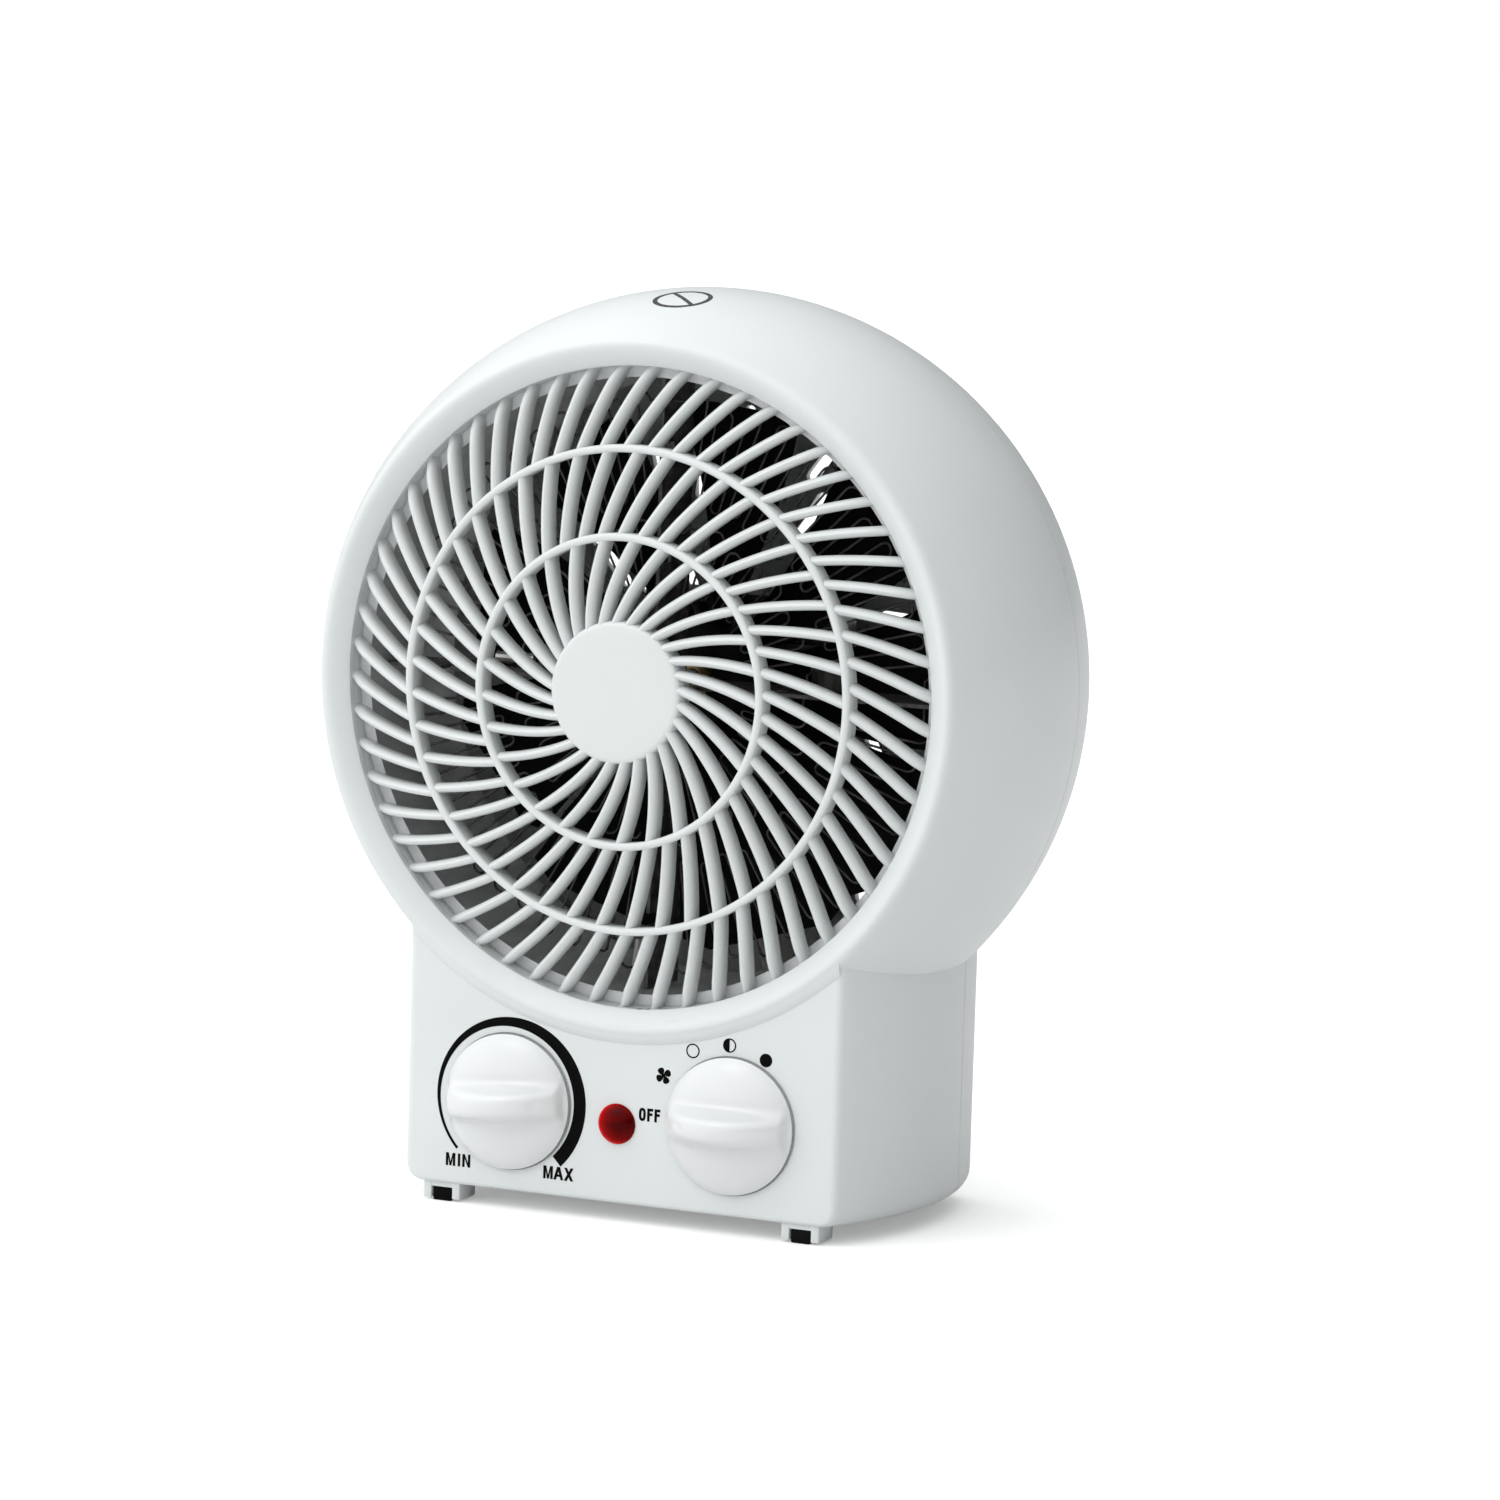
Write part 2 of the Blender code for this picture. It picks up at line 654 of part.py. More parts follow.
def front_grille():
    frame = []
    for radius in RING_RADII:
        low, high = radius - RING_WIDTH / 2, radius + RING_WIDTH / 2
        y = dome_y(radius) - RING_PROUD
        loop = [(low, y), (high, y), (high, y + RIB_DEPTH + 1 * MM), (low, y + RIB_DEPTH + 1 * MM)]
        frame.append(turned(loop, z=DRUM_Z, segments=40, ring=True))
    hub = [
        (0.0, HUB_Y + 1.6 * MM),
        (HUB_RADIUS + GAP, HUB_Y + 1.6 * MM),
        (HUB_RADIUS + GAP, HUB_Y + 0.3 * MM),
        (HUB_RADIUS + 1.5 * MM, HUB_Y + 0.3 * MM),
        (HUB_RADIUS + 1.5 * MM, HUB_Y + 6 * MM),
        (0.0, HUB_Y + 6 * MM),
    ]
    frame.append(turned(hub, z=DRUM_Z, segments=32))
    inner, outer = GRILLE_WALL
    back_y = DUCT_Y[0] - GAP
    front_y = LIP_Y + 0.4 * MM
    flange_y = FLANGE_BACK_Y + GAP
    rim = [
        (inner, front_y),
        (outer, front_y),
        (outer, flange_y),
        (FLANGE_RADIUS, flange_y),
        (FLANGE_RADIUS, back_y),
        (inner, back_y),
    ]
    frame.append(turned(rim, z=DRUM_Z, segments=DRUM_SEGMENTS, ring=True))
    ribs = [
        rib(count, start, end, first, lean, steps, index)
        for count, start, end, first, lean, steps in RIB_ZONES
        for index in range(count)
    ]
    part("front_grille", join(gather(frame), gather(ribs)), "grille_white")
    cap = [
        (0.0, HUB_Y - 0.3 * MM),
        (HUB_RADIUS - 2.0 * MM, HUB_Y),
        (HUB_RADIUS - 0.5 * MM, HUB_Y + 0.3 * MM),
        (HUB_RADIUS, HUB_Y + 1.3 * MM),
        (0.0, HUB_Y + 1.3 * MM),
    ]
    part("hub_cap", turned(cap, z=DRUM_Z, segments=40), "grille_white")


# ---------------------------------------------------------------- controls


def knob_solid(x):
    """A domed knob with a crowned finger ridge along X, and a socket underneath for its spindle."""

    def at(height):
        return PANEL_Y - height

    dome = [
        (0.0, at(7.6 * MM)),
        (SPINDLE_RADIUS + GAP, at(7.6 * MM)),
        (SPINDLE_RADIUS + GAP, at(2.6 * MM)),
        (5.8 * MM, at(2.6 * MM)),
        (5.8 * MM, at(5.6 * MM)),
        (11.0 * MM, at(4.4 * MM)),
        (15.4 * MM, at(1.9 * MM)),
        (15.8 * MM, at(KNOB_CLEARANCE)),
        (KNOB_RADIUS, at(KNOB_CLEARANCE)),
        (KNOB_RADIUS, at(1.3 * MM)),
        (16.6 * MM, at(2.6 * MM)),
        (14.6 * MM, at(4.5 * MM)),
        (10.0 * MM, at(7.0 * MM)),
        (5.0 * MM, at(8.4 * MM)),
        (0.0, at(8.8 * MM)),
    ]
    body = turned(dome, x=x, z=DIAL_Z, segments=24)
    half, end_height = 16.8 * MM, 3.6 * MM
    rise = KNOB_HEIGHT - end_height
    arc = (half**2 + rise**2) / (2 * rise)
    top = [(px, KNOB_HEIGHT - arc + math.sqrt(arc**2 - px**2)) for px in spread(-half, half, 8)]
    under = [(16.8 * MM, 1.7 * MM), (13 * MM, 4.4 * MM), (6 * MM, 7.2 * MM)]
    outline = top + under + [(-px, h) for px, h in reversed(under)]
    levels = around(DIAL_Z, RIDGE_WIDTH / 2)
    loops = [[(x + px, at(h), z) for px, h in outline] for z in levels]
    return join(body, lofted(loops))


def turned_in_place(obj, x, degrees):
    """The object turned clockwise, as seen from the front, about the dial's own axis."""
    place = Matrix.Translation((x, 0, DIAL_Z))
    turn = Matrix.Rotation(math.radians(degrees), 4, "Y")
    obj.data.transform(place @ turn @ place.inverted())
    return obj


def spindle(x):
    """A control's spindle, with the flat that drives its knob."""
    tip_y = PANEL_Y - 6.7 * MM
    made = pin(SPINDLE_RADIUS, (x, DIAL_Z), (tip_y, -31.0 * MM), 16)
    ys = (tip_y - 1 * MM, PANEL_Y - 2.6 * MM)
    flat = block((x + 2 * MM, x + 6 * MM), ys, around(DIAL_Z, 5 * MM))
    return cut(made, flat)


def control_body(x, half_width, half_height, depth):
    """A control's case with the threaded neck that passes through the panel."""
    front = PANEL_BACK_Y + GAP
    case = block(around(x, half_width), (front, front + depth), around(DIAL_Z, half_height))
    neck = pin(NECK_RADIUS, (x, DIAL_Z), (PANEL_Y - 1.9 * MM, front + 1 * MM), 20)
    hole = pin(SPINDLE_RADIUS + GAP, (x, DIAL_Z), (PANEL_Y - 5 * MM, -30.5 * MM), 16)
    return cut(join(case, neck), hole)


def neck_nut(x):
    y_back = PANEL_Y - GAP
    y_front = y_back - 1.5 * MM
    inner, outer = 5.0 * MM, 6.8 * MM
    loop = [(inner, y_front), (outer, y_front), (outer, y_back), (inner, y_back)]
    return turned(loop, x=x, z=DIAL_Z, segments=6, ring=True)


def controls():
    left, right = -DIAL_X, DIAL_X
    knob = turned_in_place(knob_solid(left), left, -THERMOSTAT_REST_DEG)
    part("thermostat_knob", knob, "knob_white", (left, PANEL_Y, DIAL_Z))
    part("selector_knob", knob_solid(right), "knob_white", (right, PANEL_Y, DIAL_Z))
    part("thermostat_spindle", spindle(left), "brass", (left, PANEL_Y, DIAL_Z))
    part("selector_spindle", spindle(right), "brass", (right, PANEL_Y, DIAL_Z))
    part("thermostat_body", control_body(left, 12 * MM, 8 * MM, 12 * MM), "core_steel")
    part("selector_body", control_body(right, 14 * MM, 10.5 * MM, 18 * MM), "plastic_black")
    part("thermostat_nut", neck_nut(left), "screw_zinc")
    part("selector_nut", neck_nut(right), "screw_zinc")
    bimetal_y = PANEL_BACK_Y + 13 * MM
    ys = (bimetal_y, bimetal_y + 1 * MM)
    strip = block((left - 11 * MM, left + 12 * MM), ys, around(DIAL_Z, 3 * MM))
    part("thermostat_bimetal", strip, "brass")
    lens = [
        (0.0, PANEL_Y - 2.6 * MM),
        (2.4 * MM, PANEL_Y - 2.3 * MM),
        (4.2 * MM, PANEL_Y - 1.5 * MM),
        (LAMP_RADIUS, PANEL_Y - GAP),
        (4.0 * MM, PANEL_Y - GAP),
        (4.0 * MM, -33.0 * MM),
        (2.9 * MM, -33.0 * MM),
        (2.9 * MM, -40.6 * MM),
        (0.0, -40.6 * MM),
    ]
    part("lamp_lens", turned(lens, x=LAMP_X, z=LAMP_Z, segments=24), "lamp_red")
    neon = pin(2.4 * MM, (LAMP_X, LAMP_Z), (-40.2 * MM, -27 * MM), 12)
    part("neon_lamp", neon, "lead_white")


# ---------------------------------------------------------------- airway and heating element


def air_duct():
    inner, outer = DUCT_RADII
    front, back = DUCT_Y
    flange_back = front + 1.2 * MM
    loop = [
        (inner, front),
        (FLANGE_RADIUS, front),
        (FLANGE_RADIUS, flange_back),
        (outer, flange_back),
        (outer, back),
        (inner, back),
    ]
    duct = turned(loop, z=DRUM_Z, segments=DRUM_SEGMENTS, ring=True)
    zs = (DRUM_Z - 90 * MM, DRUM_Z - 70 * MM)
    lead_hole = block((-14 * MM, -4 * MM), (-19 * MM, -9 * MM), zs)
    part("air_duct", cut(duct, lead_hole), "duct_steel")


def mica_plate(vertical):
    """One of two crossed plates, slotted to half its depth at the middle and notched for the coils."""
    front, back = MICA_Y
    half = MICA_THICK / 2
    plate = block(around(0, MICA_HALF), (front, back), around(0, half))
    middle = (front + back) / 2
    slot = (front - 1 * MM, middle + GAP / 2) if vertical else (middle - GAP / 2, back + 1 * MM)
    tall = around(0, 2 * MM)
    notches = [block(around(0, half + GAP), slot, tall)]
    for low, high, _ in COILS.values():
        ring = (low + high) / 2
        for side in (-1, 1):
            xs = around(side * ring, 1.6 * MM)
            notches.append(block(xs, (front - 1 * MM, COIL_Y + 1.6 * MM), tall))
    plate = cut(plate, gather(notches))
    turn = Matrix.Rotation(math.radians(90 if vertical else 0), 4, "Y")
    plate.data.transform(Matrix.Translation((0, 0, DRUM_Z)) @ turn)
    return plate


def coil_points(low, high, waves):
    """A zigzag ring that crosses each mica plate square to it, open at the bottom."""
    middle = (low + high) / 2
    crossing = math.atan2(2.2 * MM, middle)
    polar = []
    for quarter in range(4):
        start = -math.pi / 2 + quarter * math.pi / 2
        end = start + math.pi / 2
        polar.append((middle, start + crossing))
        angles = spread(start + 2.2 * crossing, end - 2.2 * crossing, 2 * waves - 1)
        polar += [(high if i % 2 else low, a) for i, a in enumerate(angles)]
        polar.append((middle, end - crossing))
    return [(r * math.cos(a), COIL_Y, DRUM_Z + r * math.sin(a)) for r, a in polar]


def heating_element():
    part("mica_plate_horizontal", mica_plate(vertical=False), "mica")
    part("mica_plate_vertical", mica_plate(vertical=True), "mica")
    for name, (low, high, waves) in COILS.items():
        part(name, tube(coil_points(low, high, waves), COIL_WIRE), "coil_wire")
    top = DRUM_Z + MICA_THICK / 2 + GAP
    seat = Vector((44 * MM, -13 * MM, top))
    disc = rod(5.5 * MM, seat, seat + Vector((0, 0, 5 * MM)), axis="Z")
    part("thermal_cutout", disc, "plastic_black")
    end = Vector((-52 * MM, -14 * MM, top + 1.8 * MM))
    fuse = rod(1.8 * MM, end, end + Vector((11 * MM, 0, 0)), axis="X", segments=12)
    part("thermal_fuse", fuse, "screw_zinc")


# ---------------------------------------------------------------- impeller and motor


def blade(index):
    """A twisted blade, steep at the hub and flat at the tip, that drives air towards the grille."""
    angle = 2 * math.pi * index / IMPELLER_BLADES
    out = Vector((math.cos(angle), 0, math.sin(angle)))
    turnwise = Vector((-math.sin(angle), 0, math.cos(angle)))
    back = Vector((0, 1, 0))
    loops = []
    for radius_mm, chord_mm, pitch_deg in BLADE_STATIONS:
        radius = radius_mm * MM
        pitch = math.radians(pitch_deg)
        chord = (math.cos(pitch) * turnwise + math.sin(pitch) * back) * chord_mm * MM / 2
        thick = (math.cos(pitch) * back - math.sin(pitch) * turnwise) * 0.8 * MM
        low = radius * out + Vector((0, IMPELLER_Y, DRUM_Z)) - thick
        high = low + 2 * thick
        loops.append([low - chord, low + chord, high + chord, high - chord])
    return lofted(loops)


def impeller():
    bore = SHAFT_RADIUS + GAP
    profile = [
        (bore, -3.0 * MM),
        (10 * MM, -3.0 * MM),
        (15 * MM, 0.5 * MM),
        (15 * MM, 14.5 * MM),
        (13 * MM, 14.5 * MM),
        (13 * MM, 1.5 * MM),
        (6 * MM, 0.0),
        (6 * MM, 14.5 * MM),
        (bore, 14.5 * MM),
    ]
    hub = turned(profile, z=DRUM_Z, segments=28, ring=True)
    blades = gather([blade(i) for i in range(IMPELLER_BLADES)])
    inside = pin(14 * MM, (0, DRUM_Z), (-20 * MM, 40 * MM), 28)
    part("impeller", join(hub, cut(blades, inside)), "plastic_black", SPIN_CENTRE)
    loop = [(bore, -5.0 * MM), (5.5 * MM, -5.0 * MM), (5.5 * MM, -3.3 * MM), (bore, -3.3 * MM)]
    clip = turned(loop, z=DRUM_Z, segments=16, ring=True)
    part("impeller_clip", clip, "brass", SPIN_CENTRE)


def bearing_bracket(y_low, y_high):
    """A strap across the bore, with a seat for the bearing and two screw holes."""
    strap = block(around(0, 30 * MM), (y_low, y_high), around(DRUM_Z, 8 * MM))
    through = (y_low - 5 * MM, y_high + 5 * MM)
    seat = pin(5.3 * MM, (0, DRUM_Z), through, 20)
    holes = [pin(MOTOR_HOLE, place, through, 10) for place in MOTOR_SCREWS]
    return cut(strap, gather([seat, *holes]))


def bearing(y_low, y_high):
    bore = SHAFT_RADIUS + 0.05 * MM
    loop = [(bore, y_low), (5.0 * MM, y_low), (5.0 * MM, y_high), (bore, y_high)]
    return turned(loop, z=DRUM_Z, segments=20, ring=True)


def motor():
    front, back = CORE_Y
    shaft = pin(SHAFT_RADIUS, (0, DRUM_Z), (-6 * MM, 47 * MM), 20)
    part("motor_shaft", shaft, "core_steel", SPIN_CENTRE)
    inner, outer = SHAFT_RADIUS + GAP, BORE_RADIUS - 0.7 * MM
    ends = (front + GAP, back - GAP)
    loop = [(inner, ends[0]), (outer, ends[0]), (outer, ends[1]), (inner, ends[1])]
    rotor = turned(loop, z=DRUM_Z, segments=24, ring=True)
    part("motor_rotor", rotor, "core_steel", SPIN_CENTRE)
    core = block(around(0, CORE_HALF_WIDTH), CORE_Y, (CORE_LOW_Z, DRUM_Z + 20 * MM))
    through = (front - 5 * MM, back + 5 * MM)
    bore = pin(BORE_RADIUS, (0, DRUM_Z), through, 24)
    window = block(around(0, 17 * MM), through, (LEG_HIGH_Z, DRUM_Z - 17 * MM))
    holes = [pin(MOTOR_HOLE, place, through, 10) for place in MOTOR_SCREWS]
    part("stator_core", cut(core, gather([bore, window, *holes])), "core_steel")
    coil = block(around(0, 15.5 * MM), (17 * MM, 46 * MM), (DRUM_Z - 50 * MM, DRUM_Z - 20 * MM))
    leg_zs = (CORE_LOW_Z - GAP, LEG_HIGH_Z + GAP)
    leg = block(around(0, 30 * MM), (front - GAP, back + GAP), leg_zs)
    part("stator_winding", cut(coil, leg), "winding")
    part("bearing_bracket_front", bearing_bracket(front - 3.3 * MM, front - GAP), "core_steel")
    part("bearing_bracket_rear", bearing_bracket(back + GAP, back + 3.3 * MM), "core_steel")
    part("bearing_front", bearing(front - 5 * MM, front - GAP), "brass")
    part("bearing_rear", bearing(back + GAP, back + 5 * MM), "brass")
    for (x, z), side_name in zip(MOTOR_SCREWS, ("left", "right")):
        head_y = front - 3.3 * MM - GAP
        profile = [
            (0.0, head_y - 2.2 * MM),
            (3.2 * MM, head_y - 1.8 * MM),
            (3.2 * MM, head_y),
            (1.6 * MM, head_y),
            (1.6 * MM, 50 * MM),
            (0.0, 50 * MM),
        ]
        screw = turned(profile, x=x, z=z, segments=12)
        part(f"motor_screw_{side_name}", screw, "screw_zinc")


# ---------------------------------------------------------------- electrical parts in the base


def electrics():
    gland = [
        (CORD_BORE_RADIUS, BASE_BACK_Y + 2.4 * MM),
        (7.2 * MM, BASE_BACK_Y + 2.4 * MM),
        (7.2 * MM, BASE_BACK_Y + GAP),
        (4.6 * MM, BASE_BACK_Y + GAP),
        (4.6 * MM, BASE_BACK_Y - WALL - GAP),
        (6.0 * MM, BASE_BACK_Y - WALL - GAP),
        (6.0 * MM, BASE_BACK_Y - WALL - 1.8 * MM),
        (CORD_BORE_RADIUS, BASE_BACK_Y - WALL - 1.8 * MM),
    ]
    part("cable_gland", turned(gland, x=GLAND_X, z=GLAND_Z, segments=20, ring=True), "rubber_black")
    floor = BASE_BOTTOM_Z + WALL + GAP
    xs, ys = around(GLAND_X, 9 * MM), (28 * MM, 35 * MM)
    cord_low, cord_high = around(GLAND_Z, CORD_BORE_RADIUS + 0.5 * MM)
    part("cord_clamp_block", block(xs, ys, (floor, cord_low)), "plastic_black")
    part("cord_clamp_bar", block(xs, ys, (cord_high, cord_high + 3.5 * MM)), "plastic_black")
    terminal = block((-24 * MM, -2 * MM), (20 * MM, 32 * MM), (floor, floor + 10 * MM))
    wells = [
        rod(1.8 * MM, (x, 26 * MM, floor + 5 * MM), (x, 26 * MM, floor + 15 * MM), "Z", 10)
        for x in (-18 * MM, -8 * MM)
    ]
    part("terminal_block", cut(terminal, gather(wells)), "lead_white")


def tilt_switch():
    floor = BASE_BOTTOM_Z + WALL + GAP
    case = block(around(0, 8 * MM), around(TILT_Y, 7 * MM), (floor, floor + 14 * MM))
    well = plunger_rod(PLUNGER_RADIUS + GAP, (floor - 5 * MM, floor + 11 * MM))
    part("tilt_switch_body", cut(case, well), "plastic_black")
    stem = plunger_rod(PLUNGER_RADIUS, (0.8 * MM, 17.5 * MM))
    foot = plunger_rod(4.0 * MM, (0.0, 1.6 * MM))
    part("tilt_switch_plunger", join(stem, foot), "plastic_black", (0, TILT_Y, 0))


def smooth_route(points, steps=3):
    """Points along a smooth curve through the given points."""
    places = [Vector(p) for p in points]
    ends = [2 * places[0] - places[1], *places, 2 * places[-1] - places[-2]]
    made = []
    for a, b, c, d in zip(ends, ends[1:], ends[2:], ends[3:]):
        square = 2 * a - 5 * b + 4 * c - d
        cube = 3 * b - a - 3 * c + d
        for t in spread(0.0, 1.0, steps)[:-1]:
            made.append(b + 0.5 * ((c - a) * t + square * t**2 + cube * t**3))
    return [*made, places[-1]]


def leads():
    """Insulated leads between the controls, the element and the motor."""
    for name, (finish, route_mm) in LEADS.items():
        points = smooth_route([Vector(point) * MM for point in route_mm])
        part(name, tube(points, 1.1 * MM, resolution=1), finish)


def main():
    housings()
    housing_screws()
    front_grille()
    controls()
    air_duct()
    heating_element()
    impeller()
    motor()
    electrics()
    tilt_switch()
    leads()
    bpy.data.collections.remove(WORKSHOP)


main()
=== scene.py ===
"""Looks of the fan convector heater. Shapes are worked out in millimetres in the frame's own axes."""

import math

import bmesh
import bpy
from mathutils import Matrix, Quaternion, Vector


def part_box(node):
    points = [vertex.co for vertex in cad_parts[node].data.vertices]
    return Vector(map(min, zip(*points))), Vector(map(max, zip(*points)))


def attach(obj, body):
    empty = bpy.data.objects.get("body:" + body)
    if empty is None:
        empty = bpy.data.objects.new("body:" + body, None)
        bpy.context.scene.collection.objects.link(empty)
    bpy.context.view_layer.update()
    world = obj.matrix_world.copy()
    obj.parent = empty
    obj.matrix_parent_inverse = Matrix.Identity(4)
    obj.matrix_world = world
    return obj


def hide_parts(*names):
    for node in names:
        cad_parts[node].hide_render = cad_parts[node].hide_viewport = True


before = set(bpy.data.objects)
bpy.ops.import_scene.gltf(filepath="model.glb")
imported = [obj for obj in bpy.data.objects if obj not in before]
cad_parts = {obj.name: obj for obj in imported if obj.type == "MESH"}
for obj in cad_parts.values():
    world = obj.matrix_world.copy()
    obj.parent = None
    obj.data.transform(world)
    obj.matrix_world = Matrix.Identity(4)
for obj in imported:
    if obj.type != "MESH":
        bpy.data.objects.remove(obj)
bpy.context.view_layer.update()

MM = 0.001


def corner(node, high, axis):
    """One coordinate of a CAD node's box, in millimetres."""
    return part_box(node)[high][axis] / MM


def middle(node, axis):
    """One coordinate of the middle of a CAD node's box, in millimetres."""
    return (corner(node, 0, axis) + corner(node, 1, axis)) / 2


def spread(low, high, steps):
    """Evenly spaced values from low to high, both included."""
    return [low + (high - low) * i / steps for i in range(steps + 1)]


# ------------------------------------------------------------------ sizes, in millimetres

# Places that come from the CAD.
DRUM_Z = middle("impeller_clip", 2)
PANEL_Y = corner("thermostat_nut", 1, 1) + 0.3
SEAM_Y = (corner("front_housing", 1, 1) + corner("rear_housing", 0, 1)) / 2
BACK_Y = corner("rear_housing", 1, 1)
HUB_Y = corner("hub_cap", 0, 1) + 0.3
DIALS = {
    "thermostat": (middle("thermostat_nut", 0), middle("thermostat_nut", 2)),
    "selector": (middle("selector_nut", 0), middle("selector_nut", 2)),
}
LAMP = (middle("lamp_lens", 0), middle("lamp_lens", 2))
KNOB_RADIUS = (corner("selector_knob", 1, 2) - corner("selector_knob", 0, 2)) / 2
KNOB_HEIGHT = PANEL_Y - corner("selector_knob", 0, 1)
LAMP_RADIUS = (corner("lamp_lens", 1, 2) - corner("lamp_lens", 0, 2)) / 2

# The drum's side is an arc that is widest at BARREL_MID_Y; behind, it rounds into a flat back.
DRUM_RADIUS = 101.5
BARREL_ARC, BARREL_MID_Y = 90.0, 3.0
SHOULDER_Y = BACK_Y - 6.4
BACK_FLAT_RADIUS = 78.0
WALL = 2.4
HOLLOW_FRONT_Y = -36.3

# The front rim, as (radius, y): from its edge over the nose and down a funnel to the grille's lip.
RIM_EDGE_Y = -40.2
RIM_NOSE, FUNNEL_TOP = (87.0, -42.15), (86.3, -41.85)
LIP_Y, LIP_RADIUS = -39.0, 82.7
LIP_CHAMFER = (LIP_RADIUS + 0.5, LIP_Y - 0.55)

# The control base follows the drum's side, BASE_INSET further in.
BASE_INSET = 28.9
BASE_BOTTOM_Z = 5.0
BASE_BACK_Y = BACK_Y - 7.4

# The grille's face is a shallow dome behind the hub disc, and three zones of leaning ribs.
DOME_RISE, DOME_POWER = 11.9, 2.5
RIB_ZONES = (
    # ribs, inner and outer radius, start in degrees, lean in degrees
    (29, (17.0, 39.6), 6.76, 24.5),
    (45, (39.6, 62.0), 3.33, 24.5),
    (58, (62.0, 83.4), -1.38, 32.0),
)
RIB_RINGS = (39.6, 61.9)
FRONT_ARC = spread(math.pi, 0, 8)

# Rings of slots in the back wall: how many, and the radii between which they reach.
INTAKE_RINGS = ((18, 32, 46), (28, 49.5, 68))

# Printing stands this far in front of and behind the panel's surface.
INK_YS = (PANEL_Y - 0.06, PANEL_Y + 0.05)

# Segments round the drum, and blocks that reach past the whole heater.
ROUND = 160
PAST_SIDES, PAST_ENDS = (-200, 200), (-50, 400)


# ------------------------------------------------------------------ mesh helpers

SCRATCH = bpy.data.collections.new("scratch")
bpy.context.scene.collection.children.link(SCRATCH)


def turn_angles(count):
    """Evenly spaced angles over one whole turn, in radians."""
    return spread(0, 2 * math.pi, count)[:-1]


def ease(t):
    """A smooth step from 0 to 1."""
    t = min(max(t, 0.0), 1.0)
    return t * t * (3 - 2 * t)


def scratch_object(bm, name):
    """Turns a bmesh into an object in the scratch collection."""
    mesh = bpy.data.meshes.new(name)
    bm.to_mesh(mesh)
    bm.free()
    obj = bpy.data.objects.new(name, mesh)
    SCRATCH.objects.link(obj)
    return obj


def solid(verts, faces):
    """A mesh object with its faces pointing out."""
    bm = bmesh.new()
    made = [bm.verts.new(v) for v in verts]
    for face in faces:
        bm.faces.new([made[i] for i in face])
    bmesh.ops.recalc_face_normals(bm, faces=bm.faces)
    return scratch_object(bm, "solid")


def revolve(profile, segments=96, x=0.0, z=None, loop=False):
    """A profile of (radius, y) points turned about the line along Y through x, z."""
    z = DRUM_Z if z is None else z
    verts, rows = [], []
    for radius, y in profile:
        count = segments if radius > 1e-6 else 1
        rows.append([len(verts) + i for i in range(count)])
        for i in range(count):
            a = 2 * math.pi * i / segments
            verts.append((x + radius * math.cos(a), y, z + radius * math.sin(a)))
    faces = []
    ends = rows + rows[:1] if loop else rows
    for low, high in zip(ends, ends[1:]):
        for i in range(segments):
            j = (i + 1) % segments
            face = [low[i % len(low)], low[j % len(low)], high[j % len(high)], high[i % len(high)]]
            face = list(dict.fromkeys(face))
            if len(face) > 2:
                faces.append(face)
    return solid(verts, faces)


def loft(loops, ring=False):
    """A solid through loops of as many points each: closed at both ends, or joined up as a ring."""
    count, rows = len(loops[0]), len(loops)
    verts = [v for loop in loops for v in loop]
    faces = []
    for row in range(rows if ring else rows - 1):
        a, b = row * count, (row + 1) % rows * count
        for i in range(count):
            j = (i + 1) % count
            faces.append((a + i, a + j, b + j, b + i))
    if not ring:
        faces += [tuple(range(count)), tuple(range(len(verts) - count, len(verts)))]
    return solid(verts, faces)


def block(xs, ys, zs):
    """A box between those limits."""
    low = [(x, y, zs[0]) for x, y in ((xs[0], ys[0]), (xs[1], ys[0]), (xs[1], ys[1]), (xs[0], ys[1]))]
    return loft([low, [(x, y, zs[1]) for x, y, _ in low]])


def gather(objects):
    """Joins objects into one mesh as they are, without a boolean."""
    bm = bmesh.new()
    for obj in objects:
        bm.from_mesh(obj.data)
        bpy.data.objects.remove(obj)
    return scratch_object(bm, "gathered")


def apply_modifiers(obj):
    """Gives the object the mesh that its modifiers make."""
    bpy.context.view_layer.update()
    graph = bpy.context.evaluated_depsgraph_get()
    mesh = bpy.data.meshes.new_from_object(obj.evaluated_get(graph))
    obj.modifiers.clear()
    obj.data = mesh
    return obj


def combine(operation, target, *others):
    """Applies a boolean with each of the others in turn, which are used up."""
    for other in others:
        modifier = target.modifiers.new("combine", "BOOLEAN")
        modifier.operation = operation
        modifier.object = other
        modifier.solver = "EXACT"
        apply_modifiers(target)
        bpy.data.objects.remove(other)
    return target


def bevelled(obj, width, segments):
    """Rounds the edges that turn by more than 35 degrees."""
    modifier = obj.modifiers.new("edges", "BEVEL")
    modifier.width = width
    modifier.segments = segments
    modifier.limit_method = "ANGLE"
    modifier.angle_limit = math.radians(35)
    modifier.harden_normals = False
    return apply_modifiers(obj)


def copied(obj):
    made = obj.copy()
    made.data = obj.data.copy()
    SCRATCH.objects.link(made)
    return made


def moved(obj, matrix):
    obj.data.transform(matrix)
    return obj


def spun(degrees, x=0.0, z=None):
    """A turn about the line along Y through x, z: clockwise as seen from the front."""
    place = Matrix.Translation((x, 0, DRUM_Z if z is None else z))
    return place @ Matrix.Rotation(math.radians(degrees), 4, "Y") @ place.inverted()


